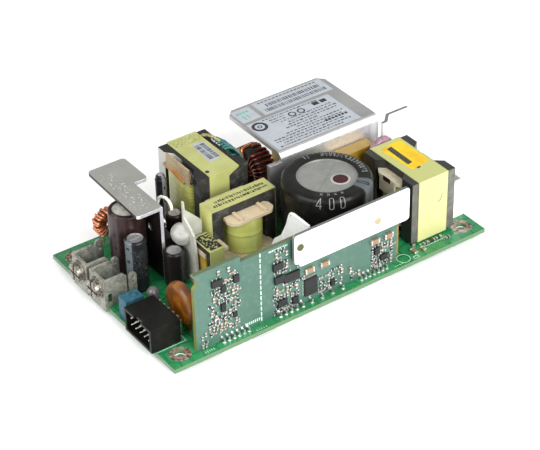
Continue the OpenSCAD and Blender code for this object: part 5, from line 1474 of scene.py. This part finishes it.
form = Form()
profile = [(0, 0), (lamp_r, 0), (lamp_r, 0.9), (lamp_r - 0.3, 0.95)]
dome_r = lamp_r - 0.3
for i in range(11):
    a = math.pi / 2 * i / 10
    profile.append((dome_r * math.cos(a), lamp_high.z - dome_r + dome_r * math.sin(a)))
form.turned(profile, (lamp_x, lamp_y, 0), steps=40)
lamp_piece = form.piece("lamp_body", lens, "lamp_lens", smooth=60)
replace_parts(lamp_piece, "indicator_lamp")
pitch = 2.54
form = Form()
for s in (-1, 1):
    form.wire([(lamp_x, lamp_y + pitch / 2 * s, z) for z in (0.3, -1.5, -board_t - 1.8)], 0.35)
form.piece("lamp_leads", tin, "tinned")

# ---- connectors ----
# A black right angle header for the signal cable with gilt pins, and a white upright housing
# for the mains lead.
black = Coat("black_shroud", (0.004, 0.004, 0.0035), rough=0.42, edge=0.2)
black.mottle(3, (0.008, 0.008, 0.007), 0.45, 0.7)
black.specular(0.14)
black.sheen_range(1.5, 0.28, 0.46)
black.grain(0.3, 0.015)
dress(black, "signal_header")
gilt = Coat("gilt_pins", (0.75, 0.66, 0.42), rough=0.25, metal=1.0, edge=0.05)
gilt.mottle(0.6, (0.60, 0.50, 0.30), 0.45, 0.7)
dress(gilt, "connector_pins")
shroud_low, shroud_high = span("signal_header")
front_pins = Form()
rear = Form()
rear_route = ((-0.2, 8.1), (0.9, 8.1), (1.2, 7.8), (1.2, 0.1))
for i in range(5):
    y = shroud_low.y + 2.9 + pitch * i
    for z in (3.2, 5.8):
        front_pins.wire([(shroud_low.x + 3.6, y, z), (shroud_low.x + 0.8, y, z)], 0.32, ends=0.5)
    rear.wire([(shroud_high.x + x, y, z) for x, z in rear_route], 0.27)
# The front pin ends are painted near white: painted glints on the gilt pins.
pin_glint = Coat("pin_tips_painted_glint", (0.92, 0.90, 0.80), rough=0.45, metal=0.4, edge=0.05)
front_pins.piece("header_pin_tips", pin_glint, "brass_plate", smooth=60)
rear.piece("header_rear_pins", bare_end, "tinned", smooth=60)
white = Coat("white_shroud", (0.80, 0.80, 0.78), rough=0.45, edge=0.25)
white.mottle(4, (0.74, 0.74, 0.72), 0.4, 0.66)
white.grain(0.4, 0.015)
dress(white, "mains_connector")

# ---- floor, light and camera ----
# A plain pale floor under soft studio light: an even sky, a large soft box in front and a
# weaker one at the left. The camera looks from the front left and above.
floor_half = 6
floor_mesh = bpy.data.meshes.new("floor")
floor_form = bmesh.new()
bmesh.ops.create_grid(floor_form, x_segments=1, y_segments=1, size=floor_half)
floor_form.to_mesh(floor_mesh)
floor_form.free()
floor = bpy.data.objects.new("floor", floor_mesh)
bpy.context.scene.collection.objects.link(floor)
floor.location.z = cad_box[0].z
floor_coat = Coat("pale_floor", (0.90, 0.90, 0.90), rough=0.9)
floor_coat.mottle(400, (0.89, 0.89, 0.89), 0.4, 0.6)
floor_mesh.materials.append(floor_coat.made)

world = bpy.data.worlds.new("studio")
bpy.context.scene.world = world
world.use_nodes = True
sky = world.node_tree.nodes["Background"]
sky.inputs["Color"].default_value = (1.0, 1.0, 1.0, 1)
sky.inputs["Strength"].default_value = 0.62
middle = (cad_box[0] + cad_box[1]) / 2
lamp_distance = 1.2


def towards(azimuth, elevation):
    """The direction of a place that lies at two angles in degrees, seen from the supply."""
    a, e = math.radians(azimuth), math.radians(elevation)
    return Vector((math.sin(a) * math.cos(e), -math.cos(a) * math.cos(e), math.sin(e)))


def lamp(name, azimuth, elevation, size, power):
    """A soft box that looks at the middle of the supply."""
    back = towards(azimuth, elevation)
    data = bpy.data.lights.new(name, "AREA")
    data.shape = "SQUARE"
    data.size = size
    data.energy = power
    made = bpy.data.objects.new(name, data)
    made.location = middle + back * lamp_distance
    made.rotation_mode = "QUATERNION"
    made.rotation_quaternion = (-back).to_track_quat("-Z", "Y")
    bpy.context.scene.collection.objects.link(made)


lamp("key", 4, 28, 0.9, 26.0)
lamp("fill", -88, 38, 1.0, 13.0)

view_roll = math.radians(-1.4008)
view_distance = 0.62409
sensor = 36.0
focal_length = 1802.43
view_width = 540
target = place(69.155, 46.126, 0.0)
back = towards(-34.5704, 35.1599)
lens_data = bpy.data.cameras.new("camera")
lens_data.sensor_width = sensor
lens_data.lens = sensor * focal_length / view_width
lens_data.clip_start = 0.01
lens_data.clip_end = 20
camera = bpy.data.objects.new("camera", lens_data)
camera.rotation_mode = "QUATERNION"
camera.location = target + back * view_distance
camera.rotation_quaternion = (-back).to_track_quat("-Z", "Y") @ Quaternion((0, 0, 1), view_roll)
bpy.context.scene.collection.objects.link(camera)
bpy.context.scene.camera = camera
bpy.context.scene.view_settings.view_transform = "Standard"
